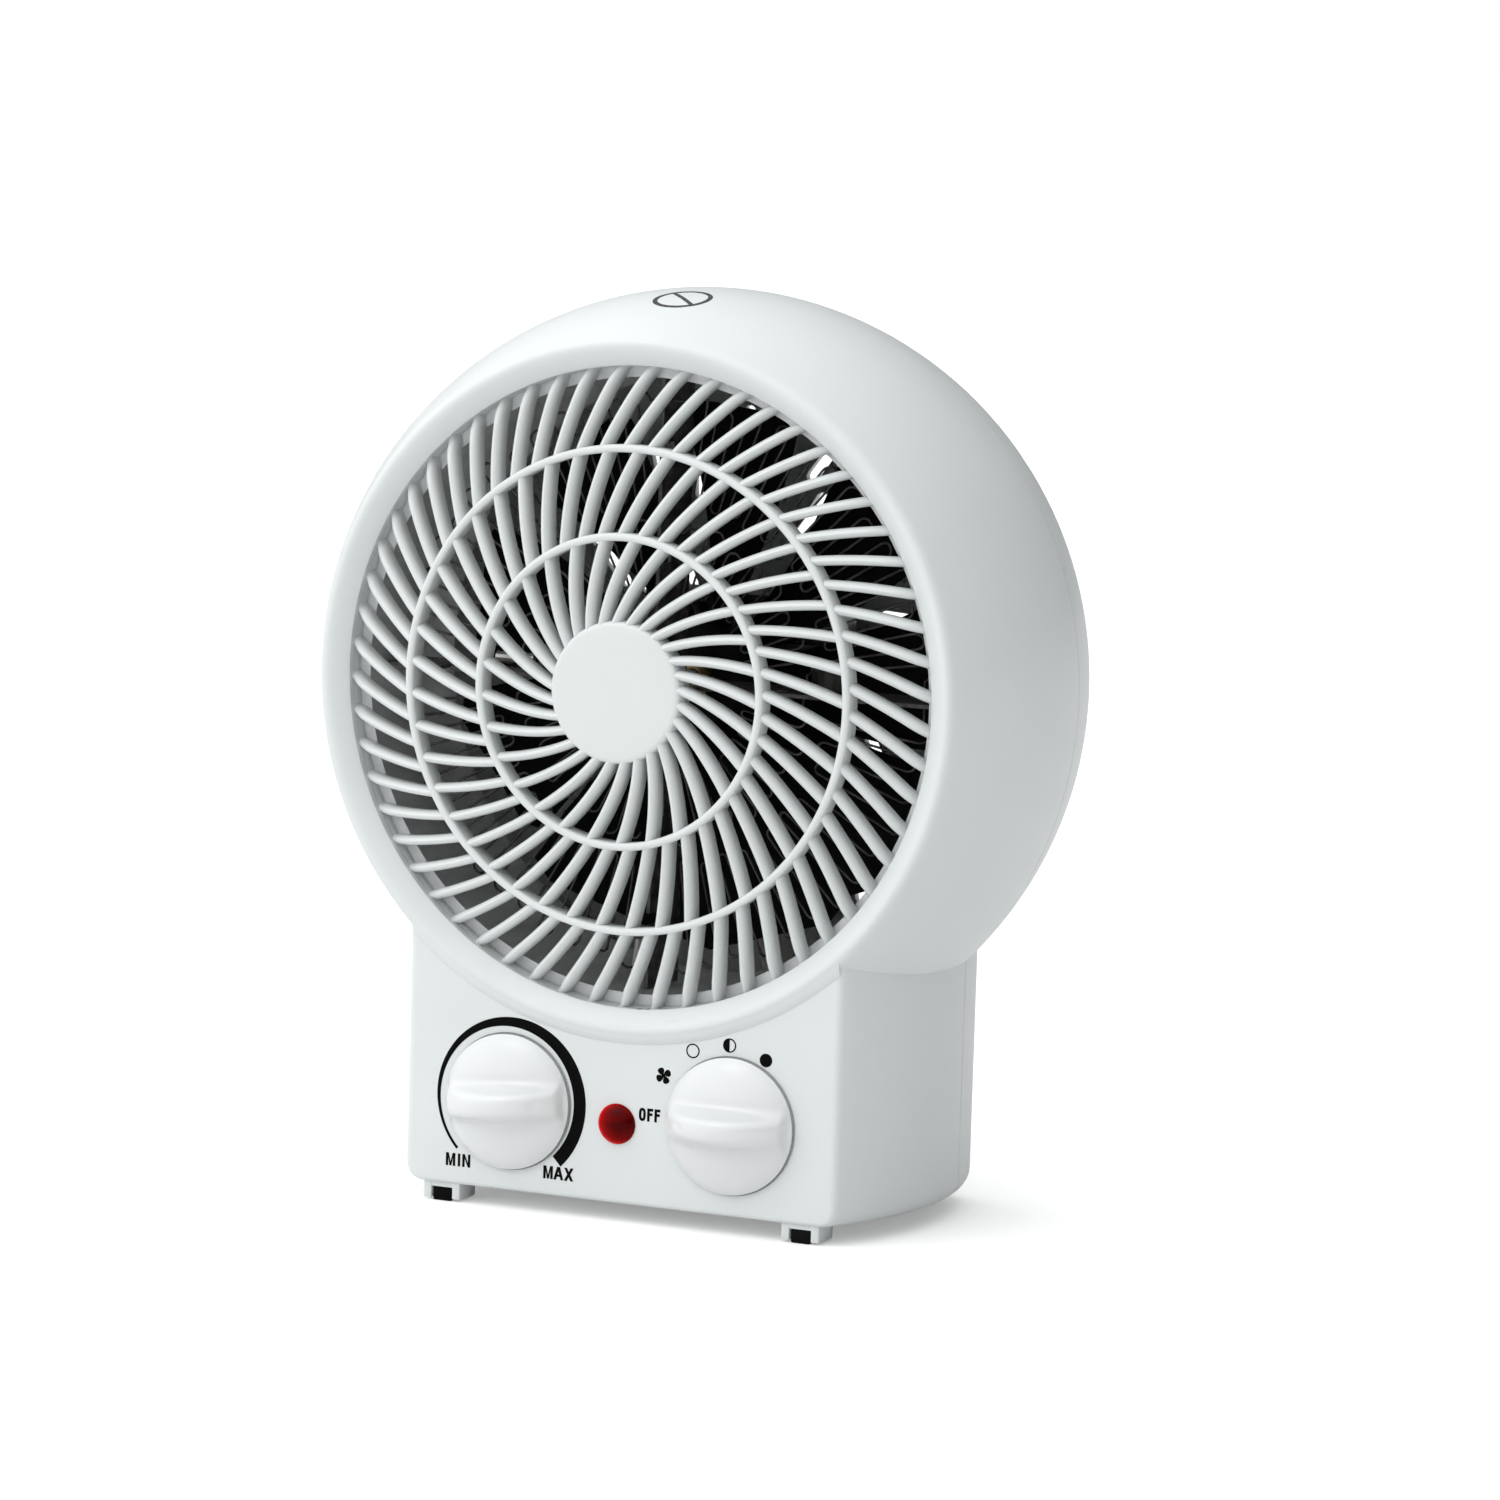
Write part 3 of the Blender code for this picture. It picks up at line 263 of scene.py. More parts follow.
def piece(name, obj, finish, body="housing", nodes=(), sharp=30):
    """Files a finished shape: from millimetres to metres, with its looks, body and CAD nodes."""
    obj.name = obj.data.name = name
    obj.data.transform(Matrix.Scale(MM, 4))
    obj.data.materials.clear()
    obj.data.materials.append(finish)
    obj.data.shade_smooth()
    obj.data.set_sharp_from_angle(angle=math.radians(sharp))
    SCRATCH.objects.unlink(obj)
    bpy.context.scene.collection.objects.link(obj)
    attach(obj, body)
    if nodes:
        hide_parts(*nodes)
    return obj


# ------------------------------------------------------------------ materials


class Finish:
    """A procedural material: mottled colour, varied roughness and a fine bump."""

    def __init__(self, name, metallic=0.0, **constants):
        self.material = bpy.data.materials.new(name)
        self.material.use_nodes = True
        self.tree = self.material.node_tree
        self.shader = self.tree.nodes["Principled BSDF"]
        self.shader.inputs["Metallic"].default_value = metallic
        for socket, value in constants.items():
            self.shader.inputs[socket.replace("_", " ")].default_value = value
        self.where = self.tree.nodes.new("ShaderNodeTexCoord").outputs["Object"]

    def node(self, kind, **settings):
        """A new node with those properties."""
        made = self.tree.nodes.new(kind)
        for key, value in settings.items():
            setattr(made, key, value)
        return made

    def link(self, source, target):
        self.tree.links.new(source, target)

    def stretched(self, scale):
        """Object coordinates, scaled on each axis."""
        mapping = self.node("ShaderNodeMapping")
        mapping.inputs["Scale"].default_value = scale
        self.link(self.where, mapping.inputs["Vector"])
        return mapping.outputs["Vector"]

    def noise(self, size_mm, detail, stretch=(1, 1, 1)):
        """Soft patches about that size apart; a stretch below 1 draws them out along that axis."""
        made = self.node("ShaderNodeTexNoise")
        made.inputs["Scale"].default_value = 1 / (size_mm * MM)
        made.inputs["Detail"].default_value = detail
        self.link(self.stretched(stretch), made.inputs["Vector"])
        return made.outputs["Fac"]

    def cells(self, size_mm):
        """Distance from the middle of the nearest cell of about that size."""
        made = self.node("ShaderNodeTexVoronoi")
        made.inputs["Scale"].default_value = 1 / (size_mm * MM)
        self.link(self.where, made.inputs["Vector"])
        return made.outputs["Distance"]

    def colour(self, factor, stops):
        """The base colour, from (position, rgb) stops along the factor."""
        ramp = self.node("ShaderNodeValToRGB")
        while len(ramp.color_ramp.elements) < len(stops):
            ramp.color_ramp.elements.new(0.5)
        for element, (position, rgb) in zip(ramp.color_ramp.elements, stops):
            element.position = position
            element.color = (*rgb, 1.0)
        self.link(factor, ramp.inputs["Fac"])
        self.link(ramp.outputs["Color"], self.shader.inputs["Base Color"])

    def roughness(self, factor, low, high):
        made = self.node("ShaderNodeMapRange")
        made.inputs["To Min"].default_value = low
        made.inputs["To Max"].default_value = high
        self.link(factor, made.inputs["Value"])
        self.link(made.outputs["Result"], self.shader.inputs["Roughness"])

    def bump(self, *layers):
        """Each layer is a height, its strength and its depth in millimetres."""
        normal = None
        for height, strength, depth in layers:
            made = self.node("ShaderNodeBump")
            made.inputs["Strength"].default_value = strength
            made.inputs["Distance"].default_value = depth * MM
            self.link(height, made.inputs["Height"])
            if normal:
                self.link(normal, made.inputs["Normal"])
            normal = made.outputs["Normal"]
        self.link(normal, self.shader.inputs["Normal"])


def moulded(name, dark, light, roughness, grain=0.45, strength=0.12, **constants):
    """Injection-moulded plastic: slow drifts of tone, a fine spark-eroded grain, and faint flow marks."""
    look = Finish(name, **constants)
    between = [(a + b) / 2 for a, b in zip(dark, light)]
    look.colour(look.noise(38, 4), [(0.3, dark), (0.5, between), (0.7, light)])
    look.roughness(look.noise(9, 5), roughness - 0.05, roughness + 0.06)
    look.bump((look.noise(14, 2), 0.05, 0.12), (look.noise(grain, 2), strength, 0.03))
    return look.material


def metal(name, dark, light, roughness, stretch=(1, 1, 1), dents=0.0, metallic=1.0):
    """Worked metal: patchy sheen, fine marks along its stretch, and broad dents of that depth."""
    look = Finish(name, metallic=metallic)
    look.colour(look.noise(6, 6, stretch), [(0.3, dark), (0.7, light)])
    look.roughness(look.noise(2.5, 5, stretch), roughness - 0.08, roughness + 0.1)
    layers = [(look.noise(0.5, 3, stretch), 0.15, 0.03)]
    if dents:
        layers.insert(0, (look.noise(11, 1), 0.6, dents))
    look.bump(*layers)
    return look.material


def sheet_mica(name):
    """Pressed mica browned by heat: dull flakes, darker towards their edges, under a slight glaze."""
    look = Finish(name, Coat_Weight=0.3, Coat_Roughness=0.2)
    flake, rim, vein = (0.11, 0.105, 0.098), (0.07, 0.066, 0.061), (0.035, 0.033, 0.030)
    look.colour(look.cells(3.2), [(0.1, flake), (0.45, rim), (0.8, vein)])
    look.roughness(look.noise(2, 4), 0.25, 0.6)
    look.bump((look.cells(2.4), 0.35, 0.06))
    return look.material


def red_lens(name):
    """Tinted plastic over fine prisms, with a painted glow: its colour runs from dark red where the lens
    faces the viewer to bright red towards its edge, by facing angle, mottled a little by noise.
    """
    look = Finish(name, IOR=1.49, Specular_IOR_Level=0.04, Coat_Weight=0.03, Coat_Roughness=0.1)
    # Painted glow: the facing-angle weight lightens the red towards the lens's edge.
    edge = look.node("ShaderNodeLayerWeight")
    edge.inputs["Blend"].default_value = 0.42
    patches = look.noise(7.0, 1, (1, 1, 1.5))
    glow_and_mottle = look.node("ShaderNodeMath", operation="MULTIPLY_ADD")
    look.link(patches, glow_and_mottle.inputs[0])
    glow_and_mottle.inputs[1].default_value = 0.5
    look.link(edge.outputs["Facing"], glow_and_mottle.inputs[2])
    painted_glow_shades = [(0.3, (0.06, 0.0, 0.0)), (0.55, (0.2, 0.0, 0.0)), (0.9, (0.62, 0.0, 0.001))]
    look.colour(glow_and_mottle.outputs["Value"], painted_glow_shades)
    look.roughness(look.noise(2, 2), 0.15, 0.25)
    look.bump((look.noise(2.6, 1, (1, 1, 3)), 0.15, 0.1))
    return look.material


def print_ink(name, tone):
    """Matt pad-printed ink of one tone, slightly uneven."""
    look = Finish(name, Specular_IOR_Level=0.05)
    look.colour(look.noise(0.7, 4), [(0.3, [tone * 0.7] * 3), (0.7, [tone * 1.3] * 3)])
    look.roughness(look.noise(0.9, 3), 0.6, 0.75)
    look.bump((look.noise(0.25, 2), 0.2, 0.01))
    return look.material


HOUSING = moulded("housing_plastic", (0.615, 0.640, 0.640), (0.635, 0.660, 0.660), 0.38, strength=0.14)
GRILLE = moulded("grille_plastic", (0.610, 0.635, 0.628), (0.630, 0.655, 0.648), 0.34, grain=0.35)
KNOB = moulded(
    "knob_plastic", (0.640, 0.650, 0.650), (0.655, 0.665, 0.665), 0.22, strength=0.04, Coat_Weight=0.4
)
BLACK = moulded("black_plastic", (0.002,) * 3, (0.004,) * 3, 0.6, Specular_IOR_Level=0.12)
RUBBER = moulded("foot_rubber", (0.002,) * 3, (0.006,) * 3, 0.75, 0.3, 0.5, Specular_IOR_Level=0.05)
PHENOLIC = moulded("switch_phenolic", (0.02, 0.017, 0.015), (0.05, 0.043, 0.038), 0.42)
CERAMIC = moulded("terminal_ceramic", (0.62, 0.60, 0.55), (0.74, 0.72, 0.68), 0.5, 0.8, 0.3)
SLEEVE_WHITE = moulded("sleeve_white", (0.62, 0.61, 0.58), (0.74, 0.73, 0.70), 0.55, 0.5, 0.6)
SLEEVE_BROWN = moulded("sleeve_brown", (0.16, 0.07, 0.03), (0.26, 0.12, 0.06), 0.5, 0.5, 0.5)
WINDING = moulded("taped_winding", (0.30, 0.09, 0.03), (0.50, 0.20, 0.08), 0.4, 1.2, 0.6)
DUCT = metal("duct_steel", (0.66, 0.67, 0.68), (0.84, 0.85, 0.86), 0.34, (1, 0.2, 1), 0.6, metallic=0.1)
LAMINATION = metal("core_laminations", (0.20, 0.20, 0.21), (0.42, 0.42, 0.43), 0.4, (1, 12, 1))
ZINC = metal("zinc_plate", (0.58, 0.58, 0.56), (0.72, 0.72, 0.70), 0.28)
BRASS = metal("turned_brass", (0.55, 0.38, 0.14), (0.74, 0.55, 0.25), 0.28, (1, 6, 1))
WIRE = metal("resistance_wire", (0.05, 0.048, 0.045), (0.14, 0.135, 0.13), 0.42)
MICA = sheet_mica("pressed_mica")
LENS = red_lens("lens_red")
INK = print_ink("dial_ink", 0.002)
PALE_INK = print_ink("grey_ink", 0.07)


# ------------------------------------------------------------------ housing shapes


def barrel(y):
    """The drum's outer radius at that depth."""
    return DRUM_RADIUS - BARREL_ARC + math.sqrt(BARREL_ARC**2 - (y - BARREL_MID_Y) ** 2)


def bend(start, tip, end, steps):
    """Points strictly between start and end on a quadratic curve towards tip."""
    a, b, c = Vector(start), Vector(tip), Vector(end)
    shares = [i / (steps + 1) for i in range(1, steps + 1)]
    return [tuple((1 - t) ** 2 * a + 2 * t * (1 - t) * b + t * t * c) for t in shares]


def drum(inset=0.0, segments=ROUND):
    """The drum as a full body, or with an inset the space inside its walls."""
    rear = (barrel(SHOULDER_Y) - inset, SHOULDER_Y)
    flat = (BACK_FLAT_RADIUS - inset, BACK_Y - inset)
    back = [rear, *bend(rear, (rear[0] - 3.6, flat[1]), flat, 10), flat]
    if inset:
        start_y = HOLLOW_FRONT_Y
        front = [(0.0, start_y)]
    else:
        start_y = RIM_EDGE_Y
        edge = (barrel(start_y), start_y)
        front = [(0.0, LIP_Y), (LIP_RADIUS, LIP_Y), LIP_CHAMFER, FUNNEL_TOP]
        front += [RIM_NOSE, *bend(RIM_NOSE, (89.0, -43.1), edge, 6)]
    sides = [(barrel(y) - inset, y) for y in spread(start_y, SHOULDER_Y, 26)[:-1]]
    return revolve([*front, *sides, *back, (0.0, BACK_Y - inset)], segments)


def rounding(height, radius):
    """How far a rounded edge of that radius still stands in from its face at a height above its foot."""
    return 0.0 if height >= radius else radius - math.sqrt(radius**2 - (radius - height) ** 2)


def base_outline(sideways=0.0, front=0.0, back=0.0):
    """The control base from above, drawn in from its sides, front and back."""

    def side(y):
        return barrel(y) - BASE_INSET - sideways

    front_y, back_y = PANEL_Y + front, BASE_BACK_Y - back
    round_front, round_rear = 1.6, 9.0
    a = (side(front_y) - round_front, front_y)
    b = (side(front_y + round_front), front_y + round_front)
    c = (side(back_y - round_rear), back_y - round_rear)
    d = (side(back_y) - round_rear, back_y)
    right = [(x, front_y) for x in spread(0.0, a[0], 6)[1:]]
    right += [*bend(a, (side(front_y), front_y), b, 8)]
    right += [(side(y), y) for y in spread(b[1], c[1], 22)]
    right += [*bend(c, (side(back_y - 2), back_y), d, 10), d]
    right += [(x, back_y) for x in spread(d[0], 0.0, 5)[1:-1]]
    return right + [(0.0, back_y)] + [(-x, y) for x, y in reversed(right)] + [(0.0, front_y)]


def base(inset=0.0):
    """The control base up into the drum as a full body, or with an inset the space inside its walls."""
    side_round, front_round = 4.6, 1.2
    heights = [0.0, 4.0] if inset else [0.0, 0.1, 0.3, 0.6, 0.9, 1.2, 1.8, 2.6, 3.5, side_round]
    heights += spread(10.0, DRUM_Z - 40 - BASE_BOTTOM_Z, 8)
    loops = []
    for height in heights:
        soft = inset + rounding(height, side_round)
        outline = base_outline(soft, inset + rounding(height, front_round), soft)
        loops.append([(x, y, BASE_BOTTOM_Z + inset + height) for x, y in outline])
    return loft(loops)


def collar():
    """The soft fillet between the rim's bead and the control panel."""
    foot_radius, inner_radius, back_y = 91.6, 86, PANEL_Y + 1
    top, foot = (90.0, PANEL_Y - 0.95), (foot_radius, PANEL_Y - 0.02)
    profile = [(88.0, -42.3), (89.3, -41.95), top, *bend(top, (91.0, PANEL_Y - 0.5), foot, 6), foot]
    profile += [(foot_radius, back_y), (inner_radius, back_y), (inner_radius, -42.0)]
    ring = revolve(profile, ROUND, loop=True)
    half = barrel(PANEL_Y) - BASE_INSET - 0.3
    window = block((-half, half), (-60, -20), (DRUM_Z - 110, DRUM_Z - 60))
    return combine("INTERSECT", ring, window)


def drum_funnel():
    """The space in front of the lip, and the opening for the grille."""
    front, back = -80.0, -30.0
    slope = [(RIM_NOSE[0], front), RIM_NOSE, FUNNEL_TOP, LIP_CHAMFER, (LIP_RADIUS, LIP_Y)]
    return revolve([(0.0, front), *slope, (LIP_RADIUS, back), (0.0, back)], ROUND)


def hole(radius, x, z, ys, segments=40):
    """A round cutter along Y through x, z."""
    return revolve([(0.0, ys[0]), (radius, ys[0]), (radius, ys[1]), (0.0, ys[1])], segments, x, z)


def square_ring(radii, ys, segments, x, z):
    """A ring of rectangular section about the line along Y through x, z."""
    (inner, outer), (low, high) = radii, ys
    section = [(inner, low), (outer, low), (outer, high), (inner, high)]
    return revolve(section, segments, x, z, loop=True)


def screw_places():
    """The housing screws' names, each with its x and z."""
    names = [f"housing_screw_{i}" for i in range(1, 7)]
    return {name: (middle(name, 0), middle(name, 2)) for name in names}


def intake_slot(inner, outer, turn):
    """One leaning slot with round ends, as a cutter through the back wall."""
    half, reach = 1.7, (outer - inner) / 2
    outline = []
    for side in (1, -1):
        start = -math.pi / 2 if side > 0 else math.pi / 2
        for a in spread(start, start + math.pi, 6):
            outline.append((side * reach + half * math.cos(a), half * math.sin(a)))
    loops = [[(x, y, z) for x, z in outline] for y in (BACK_Y - 12, BACK_Y + 8)]
    lean = Matrix.Rotation(math.radians(24), 4, "Y")
    out = Matrix.Translation(((inner + outer) / 2, 0, 0))
    spin = Matrix.Rotation(2 * math.pi * turn, 4, "Y")
    return moved(loft(loops), Matrix.Translation((0, 0, DRUM_Z)) @ spin @ out @ lean)


def foot_shroud(side, is_front):
    """A U-shaped foot that holds a rubber pad, open on its outer end."""
    x = side * 51.5
    end_y, inward = (PANEL_Y + 1.2, 1) if is_front else (BASE_BACK_Y - 1.2, -1)
    half, pocket = 5.3, 3.0
    nose = end_y + inward * 7.6
    outer = [(half * math.cos(a), nose + inward * half * math.sin(a)) for a in spread(0, math.pi, 16)]
    inner_end = end_y + inward * 9.6
    outline = [(half, end_y), *outer, (-half, end_y), (-pocket, end_y)]
    outline += [(-pocket, inner_end), (pocket, inner_end), (pocket, end_y)]
    levels = (0.6, BASE_BOTTOM_Z + 1.4)
    shroud = bevelled(loft([[(x + px, py, z) for px, py in outline] for z in levels]), 0.35, 2)
    ys = sorted((end_y + inward * 0.15, inner_end))
    lintel = block((x - pocket - 0.4, x + pocket + 0.4), ys, (3.75, BASE_BOTTOM_Z + 1.0))
    return gather([shroud, lintel])


def housing_halves():
    """The moulded shell as a front and a rear half, with a fine gap between them."""
    shell = combine("UNION", drum(), base())
    shell = combine("UNION", shell, collar())
    keep = hole(91.5, 0, DRUM_Z, (-60, HOLLOW_FRONT_Y), 96)
    hollow = combine("UNION", combine("DIFFERENCE", base(WALL), keep), drum(WALL, 96))
    shell = combine("DIFFERENCE", shell, drum_funnel(), hollow)
    half_gap = 0.15
    rear = combine("INTERSECT", copied(shell), block(PAST_SIDES, (SEAM_Y + half_gap, 100), PAST_ENDS))
    front = combine("INTERSECT", shell, block(PAST_SIDES, (-100, SEAM_Y - half_gap), PAST_ENDS))
    return front, rear


def pierced_front(front):
    """The front half with holes for the dials, lamp and plunger, and a shallow moat round each knob."""
    places = [*DIALS.values(), LAMP]
    front = combine("DIFFERENCE", front, gather([hole(4.3, x, z, (-60, -37)) for x, z in places]))
    radii, ys = (KNOB_RADIUS - 1.2, KNOB_RADIUS + 0.35), (PANEL_Y - 1, PANEL_Y + 0.8)
    moats = [square_ring(radii, ys, 120, x, z) for x, z in DIALS.values()]
    x, y = middle("tilt_switch_plunger", 0), middle("tilt_switch_plunger", 1)
    passage = loft([[(px, py, z) for px, py in disc(x, y, 3.6)] for z in (2.0, 10.0)])
    return combine("DIFFERENCE", front, gather(moats), passage)


def pierced_rear(rear):
    """The rear half with its intake slots, screw wells and cable inlet."""
    slots = [
        intake_slot(inner, outer, i / count)
        for count, inner, outer in INTAKE_RINGS
        for i in range(count)
    ]
    wells = [hole(3.7, x, z, (22, 80)) for x, z in screw_places().values()]
    inlet = hole(4.9, middle("cable_gland", 0), middle("cable_gland", 2), (38, 70))
    return combine("DIFFERENCE", rear, gather(slots), gather([*wells, inlet]))


def screw_wells():
    """Tubes that line the screw wells, cut off at the housing's skin, with a seat for each screw's head."""
    places = screw_places().values()
    tubes = [square_ring((3.75, 5.0), (SEAM_Y + 5, 80), 40, x, z) for x, z in places]
    skin = combine("UNION", drum(0.6, 96), base(0.6))
    tubes = combine("INTERSECT", gather(tubes), skin)
    seats = [square_ring((1.7, 5.0), (SEAM_Y + 4.4, SEAM_Y + 6.2), 40, x, z) for x, z in places]
    return gather([tubes, *seats])


def foot(side, side_name, is_front):
    """A shroud and its rubber pad; side is -1 or 1."""
    place = f"{'front' if is_front else 'rear'}_{side_name}"
    node = "front_housing" if is_front else "rear_housing"
    piece(f"foot_shroud_{place}", foot_shroud(side, is_front), HOUSING, nodes=[node])
    low, high = [[v / MM for v in c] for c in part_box(f"foot_pad_{place}")]
    pad = bevelled(block(*[(low[k], high[k]) for k in range(3)]), 0.5, 3)
    piece(f"rubber_pad_{place}", pad, RUBBER, nodes=[f"foot_pad_{place}"])


def housings():
    """Both halves of the shell, the lined screw wells and the four feet."""
    front, rear = housing_halves()
    front, rear = pierced_front(front), pierced_rear(rear)
    wells = screw_wells()
    piece("front_housing_skin", front, HOUSING, nodes=["front_housing"])
    piece("rear_housing_skin", rear, HOUSING, nodes=["rear_housing"])
    piece("rear_screw_wells", wells, HOUSING, nodes=["rear_housing"])
    for side, side_name in ((-1, "left"), (1, "right")):
        for is_front in (True, False):
            foot(side, side_name, is_front)


def housing_screws():
    """Cross-headed screws, each on its CAD screw's line."""
    shank, head_radius, head_height = 1.5, 3.2, 2.2
    slot_half, slot_reach = 0.33, 1.9
    for name, (x, z) in screw_places().items():
        y0, y1 = corner(name, 0, 1), corner(name, 1, 1)
        head = y1 - head_height
        rim = (head_radius, head + 0.7)
        profile = [(0, y0), (0.9, y0), (shank, y0 + 1.6), (shank, head), (head_radius, head), rim]
        profile += [*bend(rim, (2.7, y1), (0.8, y1), 4), (0.8, y1), (0, y1)]
        screw = revolve(profile, 32, x, z)
        along_x, along_z = (x - slot_reach, x + slot_reach), (z - slot_reach, z + slot_reach)
        bars = [block(along_x, (y1 - 1.1, y1 + 1), (z - slot_half, z + slot_half))]
        bars.append(block((x - slot_half, x + slot_half), (y1 - 1.2, y1 + 1), along_z))
        screw = combine("DIFFERENCE", screw, *bars)
        piece(f"{name}_pan_head", screw, ZINC, nodes=[name])


# ------------------------------------------------------------------ grille


def dome_y(radius):
    """How deep the grille's face lies at that radius."""
    return HUB_Y + DOME_RISE * (radius / LIP_RADIUS) ** DOME_POWER


def rib(index, count, ends, start_deg, turn_deg):
    """One leaning rib on a logarithmic spiral: rounded in front, drafted behind, tucked in at the rim."""
    half, nose, depth = 1.3, 2.6, 5.6
    section = [(half * math.cos(a), nose * (1 - math.sin(a))) for a in FRONT_ARC]
    section += [(half * 0.8, depth), (-half * 0.8, depth)]
    lean = math.radians(turn_deg)
    loops = []
    for radius in spread(*ends, 12):
        angle = math.radians(start_deg) - lean * math.log(radius / ends[0])
        angle += 2 * math.pi * index / count
        out = Vector((math.cos(angle), 0, math.sin(angle)))
        turnwise = Vector((-math.sin(angle), 0, math.cos(angle)))
        across = (turnwise + lean * out).normalized()
        tuck = 1.7 * ease((radius - 78.5) / 4.5)
        centre = radius * out + Vector((0, dome_y(radius) + tuck, DRUM_Z))
        loops.append([centre + across * a + Vector((0, b, 0)) for a, b in section])
    return loft(loops)


def grille_ring(radius):
    """A thin ring that crosses the ribs, rounded in front."""
    front, half = dome_y(radius) - 0.55, 1.05
    section = [(radius + half * math.cos(a), front + half * (1 - math.sin(a))) for a in FRONT_ARC]
    section += [(radius + 0.8, front + 6.2), (radius - 0.8, front + 6.2)]
    return revolve(section, 144, loop=True)


def grille():
    """The moulded grille in one piece, and the plain disc in its middle."""
    bars = [
        rib(index, count, ends, start, lean)
        for count, ends, start, lean in RIB_ZONES
        for index in range(count)
    ]
    bars += [grille_ring(radius) for radius in RIB_RINGS]
    wall = [(82.9, -36.1), (87.9, -36.1), (87.9, -33.5), (82.5, -33.5), (82.5, -35.6)]
    bars.append(revolve(wall, 144, loop=True))
    hub_front, hub_back = HUB_Y + 1.5, HUB_Y + 6.4
    hub = [(0, hub_front), (18.0, hub_front), (18.3, HUB_Y + 2.2), (18.3, hub_back), (0, hub_back)]
    bars.append(revolve(hub, 96))
    piece("grille_moulding", gather(bars), GRILLE, nodes=["front_grille"], sharp=40)
    crown = ((0, -0.28), (6, -0.25), (11, -0.17), (14.5, -0.07), (16.6, 0.02))
    face = [(radius, HUB_Y + y) for radius, y in crown]
    edge = (18.2, HUB_Y + 1.3)
    face += [*bend(face[-1], (18.1, HUB_Y + 0.1), edge, 5), edge, (0, HUB_Y + 1.3)]
    piece("hub_disc", revolve(face, 128), GRILLE, nodes=["hub_cap"])


# ------------------------------------------------------------------ controls


def knob_height(u, v, mark):
    """Height of the knob above its clearance plane; u runs along the finger ridge."""
    share = min((u * u + v * v) / KNOB_RADIUS**2, 1.0)
    dome = 0.45 + 5.4 * (1 - share) ** 0.7
    along = abs(u) / (KNOB_RADIUS - 1.2)
    crown = (KNOB_HEIGHT - 1.0 - 7.8 * along**2) * (0.5 - 0.5 * math.tanh((along - 1.0) / 0.028))
    width = 3.95 - 0.3 * along**2
    flank = 0.5 - 0.5 * math.tanh((abs(v) - width) / 1.35)
    crown -= (0.3 + 0.05 * v) * (v / width) ** 2 * flank
    scoop = 0.35 * math.exp(-(((abs(v) - width - 1.6) / 1.5) ** 2)) * max(1 - along**2, 0)
    height = dome - scoop + max(crown - dome + scoop, 0) * flank
    dimple = ((u - mark * 11.0) / 1.5) ** 2 + (v / 0.95) ** 2
    return height - 0.3 * math.exp(-(dimple**2))


# The knob's clearance plane, then its rolled edge, its underside and the socket round the neck nut, as
# (radius, y from the panel).
KNOB_PLANE_Y = PANEL_Y - 0.6
KNOB_UNDERSIDE = (
    (KNOB_RADIUS, -1.35),
    (KNOB_RADIUS, -0.8),
    (KNOB_RADIUS - 0.2, -0.6),
    (16.0, -0.6),
    (15.8, -1.0),
    (7.6, -1.0),
    (7.4, -2.7),
)


def knob(x, z, turn, mark):
    """A domed knob with a finger ridge, and a dimple on the ridge at its marked end."""
    rings, segments = 44, 168
    verts = [(x, KNOB_PLANE_Y - knob_height(0, 0, mark), z)]
    loops = []

    def add_loop(points):
        loops.append(range(len(verts), len(verts) + segments))
        verts.extend(points)

    directions = [(math.cos(a), math.sin(a)) for a in turn_angles(segments)]
    for k in range(1, rings + 1):
        r = (KNOB_RADIUS - 0.35) * k / rings
        face = [(r * c, r * s) for c, s in directions]
        add_loop([(x + u, KNOB_PLANE_Y - knob_height(u, v, mark), z + v) for u, v in face])
    for r, y in KNOB_UNDERSIDE:
        add_loop([(x + r * c, PANEL_Y + y, z + r * s) for c, s in directions])
    faces = [(0, loops[0][i], loops[0][(i + 1) % segments]) for i in range(segments)]
    for low, high in zip(loops, loops[1:]):
        for i in range(segments):
            j = (i + 1) % segments
            faces.append((low[i], low[j], high[j], high[i]))
    faces.append(tuple(loops[-1]))
    return moved(solid(verts, faces), spun(turn, x, z))


def controls():
    """The two knobs and the lamp's dome."""
    for dial, turn, mark in (("thermostat", -5, 1), ("selector", 0, -1)):
        shape = knob(*DIALS[dial], turn, mark)
        piece(f"knob_{dial}", shape, KNOB, f"{dial}_dial", [f"{dial}_knob"], 50)
    x, z = LAMP
    dome = ((0, -2.7), (0.34, -2.58), (0.63, -2.1), (0.83, -1.4), (0.94, -0.75), (1.0, -0.2), (0.97, -0.05))
    face = [(r * LAMP_RADIUS, y) for r, y in dome]
    stem = [(4.2, -0.05), (4.1, 1.0), (4.0, 7.8), (2.9, 7.8), (2.9, 0.3), (2.0, -0.3), (0, -0.5)]
    lens = revolve([(r, PANEL_Y + y) for r, y in face + stem], 64, x, z)
    piece("lamp_dome", lens, LENS, nodes=["lamp_lens"], sharp=50)


# ------------------------------------------------------------------ printing


def printed(name, outlines):
    """Flat ink shapes on the panel, each an outline of (x, z) points or an (outer, inner) pair of them."""
    front, back = INK_YS
    shapes = []
    for outline in outlines:
        if isinstance(outline, tuple):
            edges = (*outline, *outline[::-1])
            loops = [[(x, y, z) for x, z in edge] for edge, y in zip(edges, (front, front, back, back))]
            shapes.append(loft(loops, ring=True))
        else:
            shapes.append(loft([[(x, y, z) for x, z in outline] for y in INK_YS]))
    piece(name, gather(shapes), INK)


def disc(x, z, radius, start=0.0, end=360.0, count=40):
    """A round outline, or an arc of one closed by its chord; angles in degrees."""
    angles = spread(math.radians(start), math.radians(end), count)
    if end - start == 360:
        angles.pop()
    return [(x + radius * math.cos(a), z + radius * math.sin(a)) for a in angles]


